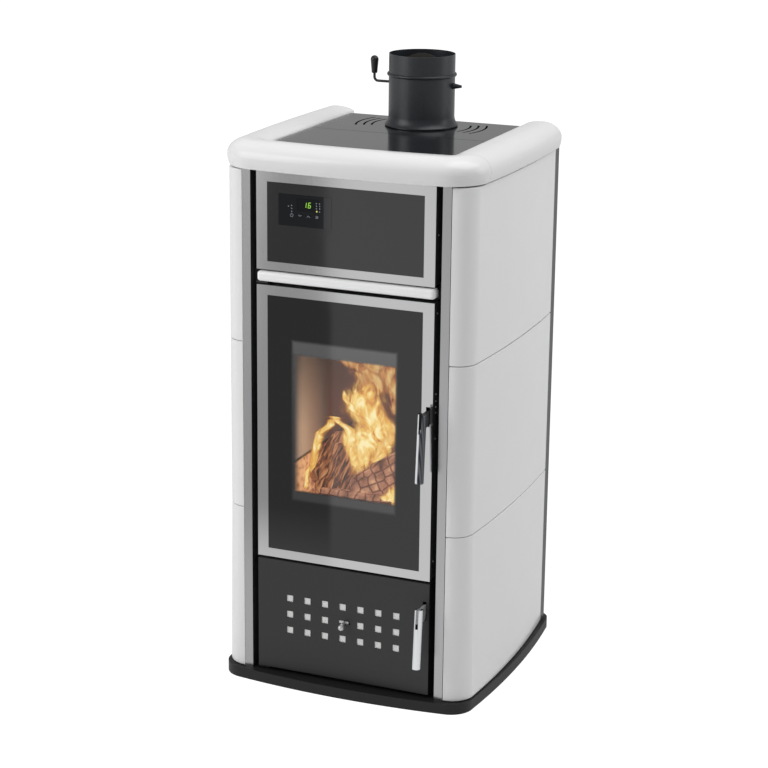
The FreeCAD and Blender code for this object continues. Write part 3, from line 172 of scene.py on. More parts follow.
# The glaze of the bar between the panel and the door, whiter than the tiles' glaze: painted light standing in
# for the bounce light its dark surroundings lack
bar_glaze_with_painted_light = surface("glaze_whitened_as_painted_light", "#FDFDFD", 0.24, grain_scale=9, vary=0.01, relief=0.03,
                    relief_depth=0.002, coat=0.25)
# Black paint on the door frames and inside the gaps beside them, painted dark grey so that painted light
# lifts the shaded gaps a little above black
gap_paint_with_painted_light = surface("black_paint_lightened_as_painted_light", "#48494A", 0.5, grain_scale=900, vary=0.08, relief=0.03)
# Satin heat-proof paint on sheet steel: near black with a soft sheen
black_paint = surface("satin_black_paint", "#262627", 0.45, grain_scale=900, vary=0.1, relief=0.03)
# The same paint on the plinth, deeper and flatter
plinth_paint = surface("flat_black_paint", "#222223", 0.5, grain_scale=900, vary=0.1, relief=0.03,
                       shine=0.3)
# Satin grey paint on the folded casing
grey_paint = surface("satin_grey_paint", "#4A4B4D", 0.38, grain_scale=700, vary=0.06)
# Smooth dark enamel on the top plates: pale with the room mirrored in it, dark where it mirrors the pipe
top_paint = surface("glossy_dark_enamel", "#1E2023", 0.13, grain_scale=600, vary=0.05, relief=0.02,
                    shine=1.0)
# Blue-black enamel on the pipe: broad soft highlight along its side
flue_paint = surface("blue_black_enamel", "#24272C", 0.34, grain_scale=800, vary=0.1, relief=0.05)
# Stainless sheet with fine upright brushing: grey with streaked reflections
stainless = surface("brushed_stainless", "#C3C3C4", 0.09, metal=1.0, grain_scale=60, stretch=(40, 40, 0.6),
                    vary=0.04, relief=0.02, relief_depth=0.0002)
# The same sheet with a duller, darker finish on the pillars
dull_stainless = surface("dull_brushed_stainless", "#AEAEAF", 0.24, metal=1.0, grain_scale=60,
                         stretch=(40, 40, 0.6), vary=0.05, relief=0.03, relief_depth=0.0002)
# Polished chrome: a mirror with dark and bright bands
chrome = surface("polished_chrome", "#DEE0E2", 0.08, metal=1.0, grain_scale=300, vary=0.02, relief=0.0)
# Satin nickel on the air knob and the ash door lever: soft, bright and without sharp reflections
nickel = surface("satin_nickel", "#D4D4D4", 0.4, metal=0.6, grain_scale=300, vary=0.03, relief=0.0)
# Pale satin aluminium of the air shutter behind the pierced squares
aluminium = surface("satin_aluminium", "#E6E6E5", 0.5, metal=0.35, grain_scale=80, stretch=(1, 1, 30),
                    vary=0.04)
# Bright zinc plating on the small screws
bright_zinc = surface("bright_zinc_plate", "#DFE0E2", 0.35, metal=0.3, grain_scale=300, vary=0.05)
# Dull zinc plating on hidden fixings
zinc = surface("dull_zinc_plate", "#A3A6A9", 0.45, metal=1.0, grain_scale=120, vary=0.12)
# Raw boiler plate: dark, scaly and matt
boiler_steel = surface("raw_boiler_plate", "#35322F", 0.7, grain_scale=60, vary=0.3, relief=0.2,
                       relief_depth=0.001)
# Rough grey-black casting
cast_iron = surface("rough_cast_iron", "#2A2826", 0.75, grain_scale=260, vary=0.3, relief=0.3,
                    relief_depth=0.001)
# Knitted glass rope: pale grey-brown and fuzzy
rope = surface("knitted_glass_rope", "#6B675E", 0.9, grain_scale=700, vary=0.4, relief=0.6,
               relief_depth=0.001)
# Matt moulded plastic of the control unit and damper grip
black_plastic = surface("matt_black_plastic", "#1D1D1F", 0.4, grain_scale=900, vary=0.08, relief=0.04)
# Blue-black film of the keys: darker than the glass round the control unit
overlay_film = surface("blue_black_film", "#0B0E13", 0.06, grain_scale=500, vary=0.04, shine=0.34)
# Smoked lens over the display: black gloss
lens_plastic = surface("smoked_display_lens", "#0B0E11", 0.14, grain_scale=300, vary=0.05, relief=0.0,
                       shine=0.2)


def filmed_housing():
    """Control housing: dark blue-black film, with a glossier bare strip left of its right edge."""
    made, tree, out = start("filmed_control_housing")
    film_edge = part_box("control_housing")[1][0] - strip_width
    bare = span(tree, place_axes(tree)["X"], film_edge - 1 * MM, film_edge + 1 * MM)
    shader = add(tree, "BsdfPrincipled", {
        "Base Color": blend(tree, bare, colour("#0B0E13"), colour("#17181C")), "Roughness": 0.06,
        "Specular IOR Level": span(tree, bare, 0.0, 1.0, 0.34, 0.76)})
    tree.links.new(shader.outputs["BSDF"], out.inputs["Surface"])
    return made


def sooted_brick_with_painted_firelight():
    """Tan lining boards, sooted to the back, over a redder course below a dark joint, glowing with painted
    firelight that fades towards the top.
    """
    made, tree, out = start("sooted_fire_brick_with_painted_firelight")
    texture = grain(tree, 12, detail=6.0)
    fine = grain(tree, 180)
    speckle = grain(tree, 90, detail=1.0)
    axes = place_axes(tree)
    depth = span(tree, maths(tree, "SUBTRACT", axes["Y"], door_y), 30 * MM, 225 * MM)
    patchy = maths(tree, "MULTIPLY_ADD", texture.outputs["Fac"], 0.2, maths(tree, "SUBTRACT", depth, 0.1))
    base = ramp(tree, patchy, [(0.0, "#A3968C"), (0.3, "#85776D"), (0.81, "#3A2C24"), (1.0, "#241811")])
    # Lit colours of the upper and lower courses, given out as painted firelight
    upper = ramp(tree, patchy, [(0.0, "#A0826E"), (0.3, "#947965"), (0.51, "#7F6353"), (0.81, "#554239"),
                                (1.0, "#4A2414")])
    spotted = maths(tree, "MULTIPLY_ADD", speckle.outputs["Fac"], 1.6, maths(tree, "SUBTRACT", depth, 0.8))
    lower = ramp(tree, spotted, [(0.0, "#D09A6E"), (0.3, "#BF895E"), (0.6, "#8A5236"), (1.0, "#4A2414")])
    past_face = maths(tree, "MINIMUM", maths(tree, "ADD", axes["X"], lining_face), 0.0)
    over_course = maths(tree, "SUBTRACT", axes["Z"], course_top)
    above = maths(tree, "MULTIPLY_ADD", past_face, -0.8, over_course)
    painted_firelight_tint = blend(tree, maths(tree, "GREATER_THAN", above, 0.0), lower, upper)
    # Painted firelight: the boards glow in their lit colours, fully up to 600 mm and fading to faint by 780
    # mm
    high = span(tree, axes["Z"], 600 * MM, 780 * MM, 1.25, 0.22)
    clear_of_joint = span(tree, maths(tree, "ABSOLUTE", above), 2 * MM, 5 * MM, to_low=0.1)
    shader = add(tree, "BsdfPrincipled", {
        "Base Color": base, "Roughness": 0.9, "Emission Color": painted_firelight_tint,
        "Emission Strength": maths(tree, "MULTIPLY", high, clear_of_joint),
        "Normal": bump(tree, fine.outputs["Fac"], 0.3, 0.001)})
    tree.links.new(shader.outputs[0], out.inputs["Surface"])
    return made


def window_glass():
    """Ceramic glass: black printed border, hazy grey strips, and a clear window between them."""
    made, tree, out = start("printed_ceramic_glass")
    axes = place_axes(tree)
    beside = maths(tree, "SUBTRACT", window_half_width, maths(tree, "ABSOLUTE", axes["X"]))
    over = maths(tree, "SUBTRACT", axes["Z"], window_low)
    under = maths(tree, "SUBTRACT", window_high, axes["Z"])
    edge = maths(tree, "MINIMUM", beside, maths(tree, "MINIMUM", over, under))
    unprinted = span(tree, edge, 0.0, 10 * MM, smooth=True)
    inner = maths(tree, "SUBTRACT", over, haze_low)
    inner = maths(tree, "MINIMUM", inner, maths(tree, "SUBTRACT", under, haze_high))
    inner = maths(tree, "MINIMUM", inner, maths(tree, "SUBTRACT", beside, haze_side))
    from_left = maths(tree, "ADD", axes["X"], window_half_width - left_fade)
    inner = maths(tree, "MINIMUM", inner, maths(tree, "MULTIPLY", from_left, window_fade / left_fade / 2))
    clear = span(tree, inner, -window_fade / 2, window_fade / 2, smooth=True)
    fine = grain(tree, 6)
    smooth = bump(tree, fine.outputs["Fac"], 0.01, 0.002)
    printed = add(tree, "BsdfPrincipled", {"Base Color": colour("#0B0B0D"), "Roughness": 0.04,
                                           "Specular IOR Level": 0.6, "Normal": smooth})
    upward = span(tree, axes["Z"], window_low, window_high)
    veil = ramp(tree, upward, [(0.0, "#262627"), (1.0, "#565657")])
    haze = add(tree, "BsdfPrincipled", {"Base Color": veil, "Roughness": 0.04, "Specular IOR Level": 1.0,
                                        "Normal": smooth})
    through = add(tree, "BsdfTransparent", {"Color": (0.97, 0.96, 0.94, 1.0)})
    shine = add(tree, "BsdfGlossy", {"Color": (1, 1, 1, 1), "Roughness": 0.03, "Normal": smooth})
    facing = add(tree, "Fresnel", {"IOR": 1.45}).outputs["Fac"]
    pane = add(tree, "MixShader", {0: facing, 1: through.outputs[0], 2: shine.outputs[0]})
    veiled = add(tree, "MixShader", {0: clear, 1: haze.outputs[0], 2: pane.outputs[0]})
    both = add(tree, "MixShader", {0: unprinted, 1: printed.outputs[0], 2: veiled.outputs[0]})
    tree.links.new(both.outputs[0], out.inputs["Surface"])
    return made


def knurled_chrome_with_painted_shade(node_name):
    """Polished grip with a knurl on its right side: a bright strip, then a speckled one whose dark base
    colour is a painted reflection of the dark gap beside it.
    """
    made, tree, out = start("chrome_grip_with_painted_shade_" + node_name)
    low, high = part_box(node_name)
    split = low[0] + (high[0] - low[0]) * 0.45
    knurl_and_painted_shade = span(tree, place_axes(tree)["X"], split - 1 * MM, split + 1 * MM)
    place = add(tree, "TexCoord").outputs["Object"]
    turned = add(tree, "Mapping", {"Vector": place, "Rotation": (0, math.radians(45), 0)})
    studs = add(tree, "TexVoronoi", {"Vector": turned.outputs["Vector"], "Scale": 1 / (4 * MM),
                                     "Randomness": 0.0})
    rise = maths(tree, "MULTIPLY", studs.outputs["Distance"], knurl_and_painted_shade)
    # Painted reflection: the knurl's dimples darken the base colour of the right side
    painted_dark_dimples = ramp(tree, studs.outputs["Distance"], [(0.1, "#B4B6BA"), (0.55, "#2A2D33")])
    base = blend(tree, knurl_and_painted_shade, colour("#DEE0E2"), painted_dark_dimples)
    rough = maths(tree, "MULTIPLY_ADD", knurl_and_painted_shade, 0.22, 0.08)
    shader = add(tree, "BsdfPrincipled", {
        "Base Color": base, "Metallic": 1.0, "Roughness": rough,
        "Normal": bump(tree, rise, 0.3, 0.0005)})
    tree.links.new(shader.outputs[0], out.inputs["Surface"])
    return made


# Black back-printed glass of the upper panel: deep, flat reflections
panel_glass = surface("black_printed_glass", "#161617", 0.05, grain_scale=5, vary=0.02, relief=0.005,
                      shine=0.72)
fire_brick = sooted_brick_with_painted_firelight()
fire_glass = window_glass()

slot_materials = {
    "white_glaze": white_glaze, "black_paint": black_paint, "grey_paint": grey_paint, "top_paint": top_paint,
    "flue_paint": flue_paint, "stainless": stainless, "chrome": chrome, "zinc_steel": zinc,
    "boiler_steel": boiler_steel, "cast_iron": cast_iron, "fire_brick": fire_brick, "dark_glass": fire_glass,
    "rope_seal": rope, "black_plastic": black_plastic, "key_plastic": overlay_film,
    "display_window": lens_plastic,
}
node_materials = {"upper_panel_glass": panel_glass, "control_housing": filmed_housing(),
                  "left_front_pillar": dull_stainless, "right_front_pillar": dull_stainless,
                  "base_plinth": plinth_paint, "air_shutter": aluminium, "air_knob": nickel,
                  # The door frames and the frame seen in the gaps take black paint lightened with painted
                  # light
                  "ash_handle_lever": nickel, "front_frame": gap_paint_with_painted_light, "fire_door_frame": gap_paint_with_painted_light,
                  # The bar takes a glaze whitened with painted light
                  "upper_panel_frame": gap_paint_with_painted_light, "ash_door_frame": gap_paint_with_painted_light, "ceramic_bar": bar_glaze_with_painted_light,
                  "fire_handle_grip": knurled_chrome_with_painted_shade("fire_handle_grip")}
for part in frame["record"]["subparts"]:
    node = frame["nodes"][part["node"]]
    chosen = node_materials.get(part["node"], slot_materials[part["material_slot"]])
    node.data.materials.clear()
    node.data.materials.append(chosen)


def piece(name, mesh, material, body, smooth=True):
    """Turns a bmesh into an object that rides a body."""
    bmesh.ops.recalc_face_normals(mesh, faces=mesh.faces)
    data = bpy.data.meshes.new(name)
    mesh.to_mesh(data)
    mesh.free()
    data.materials.append(material)
    for face in data.polygons:
        face.use_smooth = smooth
    made = bpy.data.objects.new(name, data)
    bpy.context.scene.collection.objects.link(made)
    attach(made, body)
    return made


# Fire: logs, ember bed and flames, placed by where they show in the window
def behind(x, z, depth):
    """Point at a depth behind the door face that shows at (x, z) of the face, all in millimetres."""
    shown = Vector((x * MM, door_y, z * MM))
    sight = shown - camera_place
    return shown + sight * (depth * MM / sight.y)


def burning_wood_with_painted_firelight():
    """Charred logs: grey-brown charcoal broken into uneven blocks, dark and red in the cracks; their glow is
    partly ember glow and partly painted firelight on the blocks.
    """
    made, tree, out = start("burning_wood_with_painted_firelight")
    place = add(tree, "UVMap", uv_map="UVMap").outputs["UV"]
    rough = grain(tree, 30, detail=5.0)
    bent = add(tree, "VectorMath", {0: rough.outputs["Color"], 1: (0.6, 0.6, 0.0), 2: place},
               operation="MULTIPLY_ADD").outputs[0]
    blocks = add(tree, "TexVoronoi", {"Vector": bent, "Scale": 1.0, "Randomness": 0.4},
                 feature="DISTANCE_TO_EDGE", voronoi_dimensions="2D")
    solid = span(tree, blocks.outputs["Distance"], 0.01, 0.14, smooth=True)
    base = ramp(tree, rough.outputs["Fac"], [(0.3, "#2A170E"), (0.5, "#6E4429"), (0.62, "#8E6850"),
                                             (0.8, "#B4A294")])
    # Glow in patches, stronger on the blocks than in the cracks: partly ember glow, partly painted firelight
    heat = maths(tree, "MULTIPLY_ADD", rough.outputs["Fac"], 2.2, -0.5, clamp=True)
    warm = maths(tree, "MULTIPLY", heat, maths(tree, "MULTIPLY_ADD", solid, 0.78, 0.22), clamp=True)
    glow = ramp(tree, warm, [(0.0, "#2A0E06"), (0.2, "#5A2E1C"), (0.55, "#A06A50"), (0.8, "#B88468"),
                             (1.0, "#E0AC7C")])
    shader = add(tree, "BsdfPrincipled", {
        "Base Color": base, "Roughness": 0.85, "Emission Color": glow, "Emission Strength": 0.85,
        "Normal": bump(tree, solid, 0.4, 0.004)})
    tree.links.new(shader.outputs[0], out.inputs["Surface"])
    return made


def split_wood_with_painted_firelight():
    """Split logs charred along their grain: black and brown streaks with a red-orange glow between them,
    painted firelight on the wood.
    """
    made, tree, out = start("split_charred_wood_with_painted_firelight")
    place = add(tree, "UVMap", uv_map="UVMap").outputs["UV"]
    drawn = add(tree, "Mapping", {"Vector": place, "Scale": (0.3, 1.4, 1.0)})
    streaks = add(tree, "TexNoise", {"Vector": drawn.outputs["Vector"], "Scale": 2.0, "Detail": 5.0,
                                     "Distortion": 0.9})
    # Painted firelight: the lit wood colours are given out as glow
    glow = ramp(tree, streaks.outputs["Fac"], [(0.36, "#1E0E08"), (0.46, "#5E3019"), (0.54, "#965A34"),
                                               (0.64, "#C08658"), (0.78, "#DCA878")])
    shader = add(tree, "BsdfPrincipled", {
        "Base Color": colour("#4A2E1E"), "Roughness": 0.85, "Emission Color": glow,
        "Emission Strength": 0.95, "Normal": bump(tree, streaks.outputs["Fac"], 0.5, 0.004)})
    tree.links.new(shader.outputs[0], out.inputs["Surface"])
    return made


def flame_light(name, gain, stops):
    """Flames: gold hearts with orange edges, streaked upwards, clear beyond; shaped by the piece's UV."""
    made, tree, out = start(name)
    place = add(tree, "UVMap", uv_map="UVMap").outputs["UV"]
    axes = add(tree, "SeparateXYZ", {"Vector": place})
    own = add(tree, "TexCoord").outputs["Object"]
    drawn_up = add(tree, "Mapping", {"Vector": own, "Scale": (1, 1, 0.5)})
    lick = add(tree, "TexNoise", {"Vector": drawn_up.outputs["Vector"], "Scale": 34.0, "Detail": 5.0,
                                  "Roughness": 0.6, "Distortion": 1.8})
    curl = maths(tree, "MULTIPLY_ADD", lick.outputs["Fac"], 2.0, -1.0)
    across = maths(tree, "ABSOLUTE", maths(tree, "MULTIPLY_ADD", axes.outputs["X"], 2.0, -1.0))
    inside = maths(tree, "SUBTRACT", 1.0, maths(tree, "POWER", across, 1.6))
    foot = maths(tree, "MULTIPLY", axes.outputs["Y"], 6.0, clamp=True)
    tip = maths(tree, "MULTIPLY", maths(tree, "SUBTRACT", 1.0, axes.outputs["Y"]), 4.0, clamp=True)
    held = maths(tree, "MULTIPLY", inside, maths(tree, "MULTIPLY", foot, tip))
    warm = maths(tree, "MULTIPLY", held, 0.8)
    body = maths(tree, "MULTIPLY_ADD", curl, 1.15, warm, clamp=True)
    solid = maths(tree, "MULTIPLY", maths(tree, "MULTIPLY_ADD", curl, 0.9, held, clamp=True), held)
    shade = ramp(tree, body, stops)
    light = add(tree, "Emission", {"Color": shade, "Strength": gain})
    none = add(tree, "BsdfTransparent")
    cover = maths(tree, "MULTIPLY", solid, 2.0, clamp=True)
    mixed = add(tree, "MixShader", {0: cover, 1: none.outputs[0], 2: light.outputs[0]})
    tree.links.new(mixed.outputs[0], out.inputs["Surface"])
    return made


blocky_wood = burning_wood_with_painted_firelight()
streaked_wood = split_wood_with_painted_firelight()
hot_flame = flame_light("hot_flame", 1.05, [(0.0, "#B0682E"), (0.3, "#D48E3E"), (0.55, "#EAB85C"),
                                            (0.8, "#F6D888"), (1.0, "#FEEFB8")])
faint_flame = flame_light("faint_flame", 0.9, [(0.0, "#5A2A14"), (0.3, "#8E4A22"), (0.55, "#C07E44"),
                                               (0.8, "#D8A460"), (1.0, "#E8C484")])
BLOCK = 21 * MM      # size of the charcoal blocks


def log(name, first, last, radius, seed, material):
    """Split log between two points: a lumpy, ridged bar closed to rounded ends."""
    mesh = bmesh.new()
    layer = mesh.loops.layers.uv.new("UVMap")
    along = last - first
    turned = along.to_track_quat("Z", "Y").to_matrix()
    rows, sides = 40, 36
    rings = []
    for row in range(rows + 1):
        share = row / rows
        end = min(share, 1 - share) * along.length / radius
        closing = math.sqrt(max(0.0, 1 - (1 - min(1.0, 3 * end)) ** 2)) * 0.9 + 0.1
        ring = []
        for side in range(sides):
            turn = 2 * math.pi * side / sides
            spot = Vector((math.cos(turn) * 1.3 + seed, math.sin(turn) * 1.3, share * along.length * 9))
            lump = 0.16 * noise.noise(spot) - 0.10 * abs(noise.noise(spot * 3.1))
            reach = radius * closing * (1 + lump)
            local = Vector((math.cos(turn) * reach, math.sin(turn) * reach, share * along.length))
            ring.append(mesh.verts.new(turned @ local + first))
        rings.append(ring)
    girth = 2 * math.pi * radius
    for row in range(rows):
        for side in range(sides):
            after = (side + 1) % sides
            low, high = rings[row], rings[row + 1]
            face = mesh.faces.new((low[side], low[after], high[after], high[side]))
            places = ((side, row), (side + 1, row), (side + 1, row + 1), (side, row + 1))
            for loop, (a, b) in zip(face.loops, places):
                loop[layer].uv = (b / rows * along.length / BLOCK, a / sides * girth / BLOCK)
    mesh.faces.new(rings[0])
    mesh.faces.new(rings[-1])
    return piece(name, mesh, material, "stove_body")


def flame_ribbon(name, spine, depth, seed, flame):
    """Curved sheet of flame along (x, z, half width) points that it passes in the window."""
    mesh = bmesh.new()
    layer = mesh.loops.layers.uv.new("UVMap")
    rows, columns = 36, 8
    grid = []
    for row in range(rows + 1):
        up = row / rows
        step = min(int(up * (len(spine) - 1)), len(spine) - 2)
        part = up * (len(spine) - 1) - step
        eased = part * part * (3 - 2 * part)
        low, high = Vector(spine[step]), Vector(spine[step + 1])
        x, z, half = low + (high - low) * part
        x = low.x + (high.x - low.x) * eased
        sway = noise.noise(Vector((seed, up * 5, 0))) * half * 0.5
        line = []
        for column in range(columns + 1):
            across = 2 * column / columns - 1
            bulge = 14 * (1 - across * across) + 10 * noise.noise(Vector((across, up * 4, seed)))
            line.append(mesh.verts.new(behind(x + sway + across * half, z, depth - bulge)))
        grid.append(line)
    for row in range(rows):
        for column in range(columns):
            face = mesh.faces.new((grid[row][column], grid[row][column + 1], grid[row + 1][column + 1],
                                   grid[row + 1][column]))
            places = ((column, row), (column + 1, row), (column + 1, row + 1), (column, row + 1))
            for loop, (a, b) in zip(face.loops, places):
                loop[layer].uv = (a / columns, b / rows)
    return piece(name, mesh, flame, "stove_body")


def ember_bed():
    """Low heap of embers over the grate."""
    mesh = bmesh.new()
    layer = mesh.loops.layers.uv.new("UVMap")
    bmesh.ops.create_grid(mesh, x_segments=44, y_segments=44, size=0.5)
    span_x = 240 * MM
    span_y = 280 * MM
    middle_y = door_y + 215 * MM
    for face in mesh.faces:
        for loop in face.loops:
            loop[layer].uv = (loop.vert.co.x * span_x / BLOCK, loop.vert.co.y * span_y / BLOCK)
    for vertex in mesh.verts:
        x, y = vertex.co.x, vertex.co.y
        crown = max(0.0, 1 - 4 * max(x * x, y * y))
        lump = 12 * noise.noise(Vector((x * 9, y * 9, 3)))
        lump += 14 * abs(noise.noise(Vector((x * 26, y * 26, 7))))
        vertex.co = Vector((x * span_x, y * span_y + middle_y, bed_z + (1 + crown * (48 + lump)) * MM))
    bmesh.ops.solidify(mesh, geom=list(mesh.faces), thickness=-0.5 * MM)
    return piece("ember_bed", mesh, blocky_wood, "stove_body")


ember_bed()
# Logs from one end to the other as (x, depth behind the door face, z) in millimetres, with a radius
logs = [
    ("burning_log_right", (-25, 135, 425), (98, 175, 505), 50, 1.3, blocky_wood),
    ("burning_log_low", (-98, 88, 428), (85, 102, 425), 29, 4.1, blocky_wood),
    ("burning_log_leaning", (-88, 112, 425), (-58, 168, 538), 37, 7.7, streaked_wood),
    ("burning_log_left", (-105, 100, 468), (-103, 230, 535), 26, 9.3, streaked_wood),
]
for name, first, last, radius, seed, material in logs:
    ends = [Vector((x * MM, door_y + depth * MM, z * MM)) for x, depth, z in (first, last)]
    log(name, ends[0], ends[1], radius * MM, seed, material)

# Flames as spines of (x, z, half width) in the window, with a depth
ribbons = [
    ("flame_main", [(40, 515, 20), (48, 578, 50), (64, 634, 66), (66, 676, 70), (62, 722, 56), (66, 792, 22)],
     150, 1.7, hot_flame),
    ("flame_heart", [(70, 545, 22), (95, 600, 30), (108, 640, 26), (92, 700, 12)], 165, 3.1, hot_flame),
    ("flame_hook", [(48, 655, 18), (20, 686, 13), (3, 704, 9), (-2, 726, 4)], 146, 5.9, hot_flame),
    ("flame_behind", [(60, 560, 40), (62, 630, 44), (66, 690, 36), (60, 745, 10)], 230, 6.7, faint_flame),
    ("flame_left", [(-79, 495, 12), (-71, 565, 14), (-55, 610, 16), (-28, 648, 15), (4, 662, 6)],
     112, 8.3, hot_flame),
    ("flame_left_fold", [(27, 520, 15), (23, 585, 20), (8, 630, 22), (-20, 658, 18), (-50, 652, 6)],
     118, 11.1, hot_flame),
    ("flame_low_right", [(108, 460, 44), (114, 485, 32), (126, 524, 10)], 95, 13.7, hot_flame),
    ("flame_low_left", [(-94, 476, 10), (-89, 505, 10), (-82, 542, 5)], 92, 17.9, hot_flame),
    ("flame_top_right", [(130, 660, 12), (126, 720, 28), (112, 765, 36), (90, 808, 24)],
     255, 21.3, faint_flame),
    ("flame_top_left", [(100, 715, 40), (60, 762, 42), (10, 790, 34), (-45, 808, 22)],
     270, 23.9, faint_flame),
    ("flame_back", [(66, 715, 34), (70, 755, 62), (76, 790, 74), (66, 815, 50)], 300, 29.7, faint_flame),
]
for name, spine, depth, seed, flame in ribbons:
    flame_ribbon(name, spine, depth, seed, flame)


# Control unit: lit digits and small lamps
def lit(name, code, strength):
    """Mark on the control unit with a slightly uneven glow: the lamps' and digits' own light, and a painted
    glow on the pale print.
    """
    made, tree, out = start(name)
    texture = grain(tree, 900)
    uneven = maths(tree, "MULTIPLY_ADD", texture.outputs["Fac"], 0.2 * strength, 0.9 * strength)
    shader = add(tree, "BsdfPrincipled", {
        "Base Color": colour(code), "Roughness": 0.4, "Emission Color": colour(code),
        "Emission Strength": uneven})
    tree.links.new(shader.outputs[0], out.inputs["Surface"])
    return made


green_lit = lit("green_display_light", "#8FD03C", 0.42)
lamp_lit = lit("yellow_green_lamp", "#C8D06A", 0.6)
# The key marks and unlit lamps are pale print with a faint painted glow
pale_print_with_painted_glow = lit("printed_mark_with_painted_glow", "#7C828B", 0.06)

# Segments of a digit as (x, z, upright) in units of its half width and half height
SEGMENTS = {"a": (0, 1, False), "b": (1, 0.5, True), "c": (1, -0.5, True), "d": (0, -1, False),
            "e": (-1, -0.5, True), "f": (-1, 0.5, True), "g": (0, 0, False)}
DIGITS = {"1": "bc", "6": "acdefg"}


def bar(mesh, middle, size, taper):
    """Flat bar with bevelled edges added to a mesh."""
    made = bmesh.ops.create_cube(mesh, size=1.0)
    bmesh.ops.scale(mesh, vec=size, verts=made["verts"])
    bmesh.ops.translate(mesh, vec=middle, verts=made["verts"])
    edges = list({edge for vertex in made["verts"] for edge in vertex.link_edges})
    bmesh.ops.bevel(mesh, geom=edges, offset=taper, offset_type="OFFSET", segments=1, profile=0.5,
                    affect="EDGES", material=-1)


def display_digits():
    """Two slanted lit digits."""
    mesh = bmesh.new()
    half_w = 2.6 * MM
    half_h = 5.6 * MM
    stroke = 1.6 * MM
    middle_z = 1125.5 * MM
    thick = 0.2 * MM
    for text, x in (("1", -93.5 * MM), ("6", -83.0 * MM)):
        for key in DIGITS[text]:
            sx, sz, upright = SEGMENTS[key]
            middle = Vector((x + sx * half_w, lens_y - thick / 2, middle_z + sz * half_h))
            long = half_h - stroke * 0.2 if upright else 2 * half_w - stroke * 0.2
            size = (stroke, thick, long) if upright else (long, thick, stroke)
            bar(mesh, middle, size, thick / 3)
    for vertex in mesh.verts:
        vertex.co.x += 0.14 * (vertex.co.z - middle_z)
    return piece("display_digits", mesh, green_lit, "stove_body", smooth=False)


def stud(mesh, middle, outward, radius, height):
    """Low domed head standing on a face, added to a mesh."""
    turned = outward.to_track_quat("Z", "Y").to_matrix()
    rings = []
    for reach, rise in ((1.0, 0.0), (1.0, 0.4), (0.85, 0.8), (0.45, 1.0)):
        ring = []
        for side in range(16):
            turn = math.pi * side / 8
            local = Vector((math.cos(turn) * reach * radius, math.sin(turn) * reach * radius, rise * height))
            ring.append(mesh.verts.new(turned @ local + middle))
        rings.append(ring)
    for low, high in zip(rings, rings[1:]):
        for side in range(16):
            after = (side + 1) % 16
            mesh.faces.new((low[side], low[after], high[after], high[side]))
    mesh.faces.new(rings[0])
    mesh.faces.new(rings[-1])


def marks(name, places, material, body, outward, radius, height):
    """One piece of small round heads or marks."""
    mesh = bmesh.new()
    for place in places:
        stud(mesh, Vector(place), Vector(outward), radius, height)
    return piece(name, mesh, material, body)


# Strokes of the key marks as (x, z, length, turn in degrees), in millimetres from the key's middle
KEY_MARKS = {
    "power": [(3.4 * math.cos(turn), 3.4 * math.sin(turn), 2.4, math.degrees(turn) + 90)
              for turn in (math.pi * step / 5 for step in range(3, 13))] + [(0, 2.6, 3.4, 90)],
    "down": [(-1.7, 0.3, 5.0, -40), (1.7, 0.3, 5.0, 40)],
    "up": [(-1.7, -0.3, 5.0, 40), (1.7, -0.3, 5.0, -40)],
    "menu": [(0, 2.2, 6.4, 0), (0, 0, 7.4, 0), (0, -2.2, 6.4, 0)],
}


def key_mark(key):
    """Printed mark on one key, as thin strokes on its cap."""
    low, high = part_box(key + "_key")
    middle = Vector(((low[0] + high[0]) / 2, low[1], (low[2] + high[2]) / 2))
    thick = 0.1 * MM
    mesh = bmesh.new()
    for x, z, length, turn in KEY_MARKS[key]:
        start_count = len(mesh.verts)
        bar(mesh, Vector((0, 0, 0)), (length * MM, thick, 1.2 * MM), thick / 3)
        mesh.verts.ensure_lookup_table()
        stroke = mesh.verts[start_count:]
        turned = Matrix.Rotation(-math.radians(turn), 3, "Y")
        bmesh.ops.rotate(mesh, verts=stroke, cent=(0, 0, 0), matrix=turned)
        bmesh.ops.translate(mesh, verts=stroke, vec=middle + Vector((x * MM, -thick / 2, z * MM)))
    return piece(key + "_mark", mesh, pale_print_with_painted_glow, key + "_button", smooth=False)


display_digits()
for key in KEY_MARKS:
    key_mark(key)
dark_lamps = [(-125.3, 1122), (-125.3, 1115.5), (-125.3, 1109), (-133, 1120)]
dark_lamps += [(x, z) for x in (-66.5, -59) for z in (1131, 1125.5, 1120)] + [(-59, 1113.5)]
# Unlit lamps: pale print with a faint painted glow
marks("dark_lamps", [(x * MM, overlay_y, z * MM) for x, z in dark_lamps], pale_print_with_painted_glow, "stove_body",
      (0, -1, 0), 1.5 * MM, 0.2 * MM)
marks("lit_lamp", [(-65.8 * MM, overlay_y, 1113.5 * MM)], lamp_lit, "stove_body",
      (0, -1, 0), 1.7 * MM, 0.2 * MM)

# Small screw heads seen in the gap beside the doors
screw_y = door_y + 20 * MM
door_screws = [(door_side_x, screw_y, z * MM) for z in (347, 632, 691, 704, 717, 733, 913)]
panel_screw = (panel_side_x, screw_y, 1084 * MM)
marks("door_side_screws", door_screws, bright_zinc, "fire_door", (1, 0, 0), 2.4 * MM, 1.2 * MM)
marks("panel_side_screw", [panel_screw], bright_zinc, "stove_body", (1, 0, 0),
      2.4 * MM, 1.2 * MM)

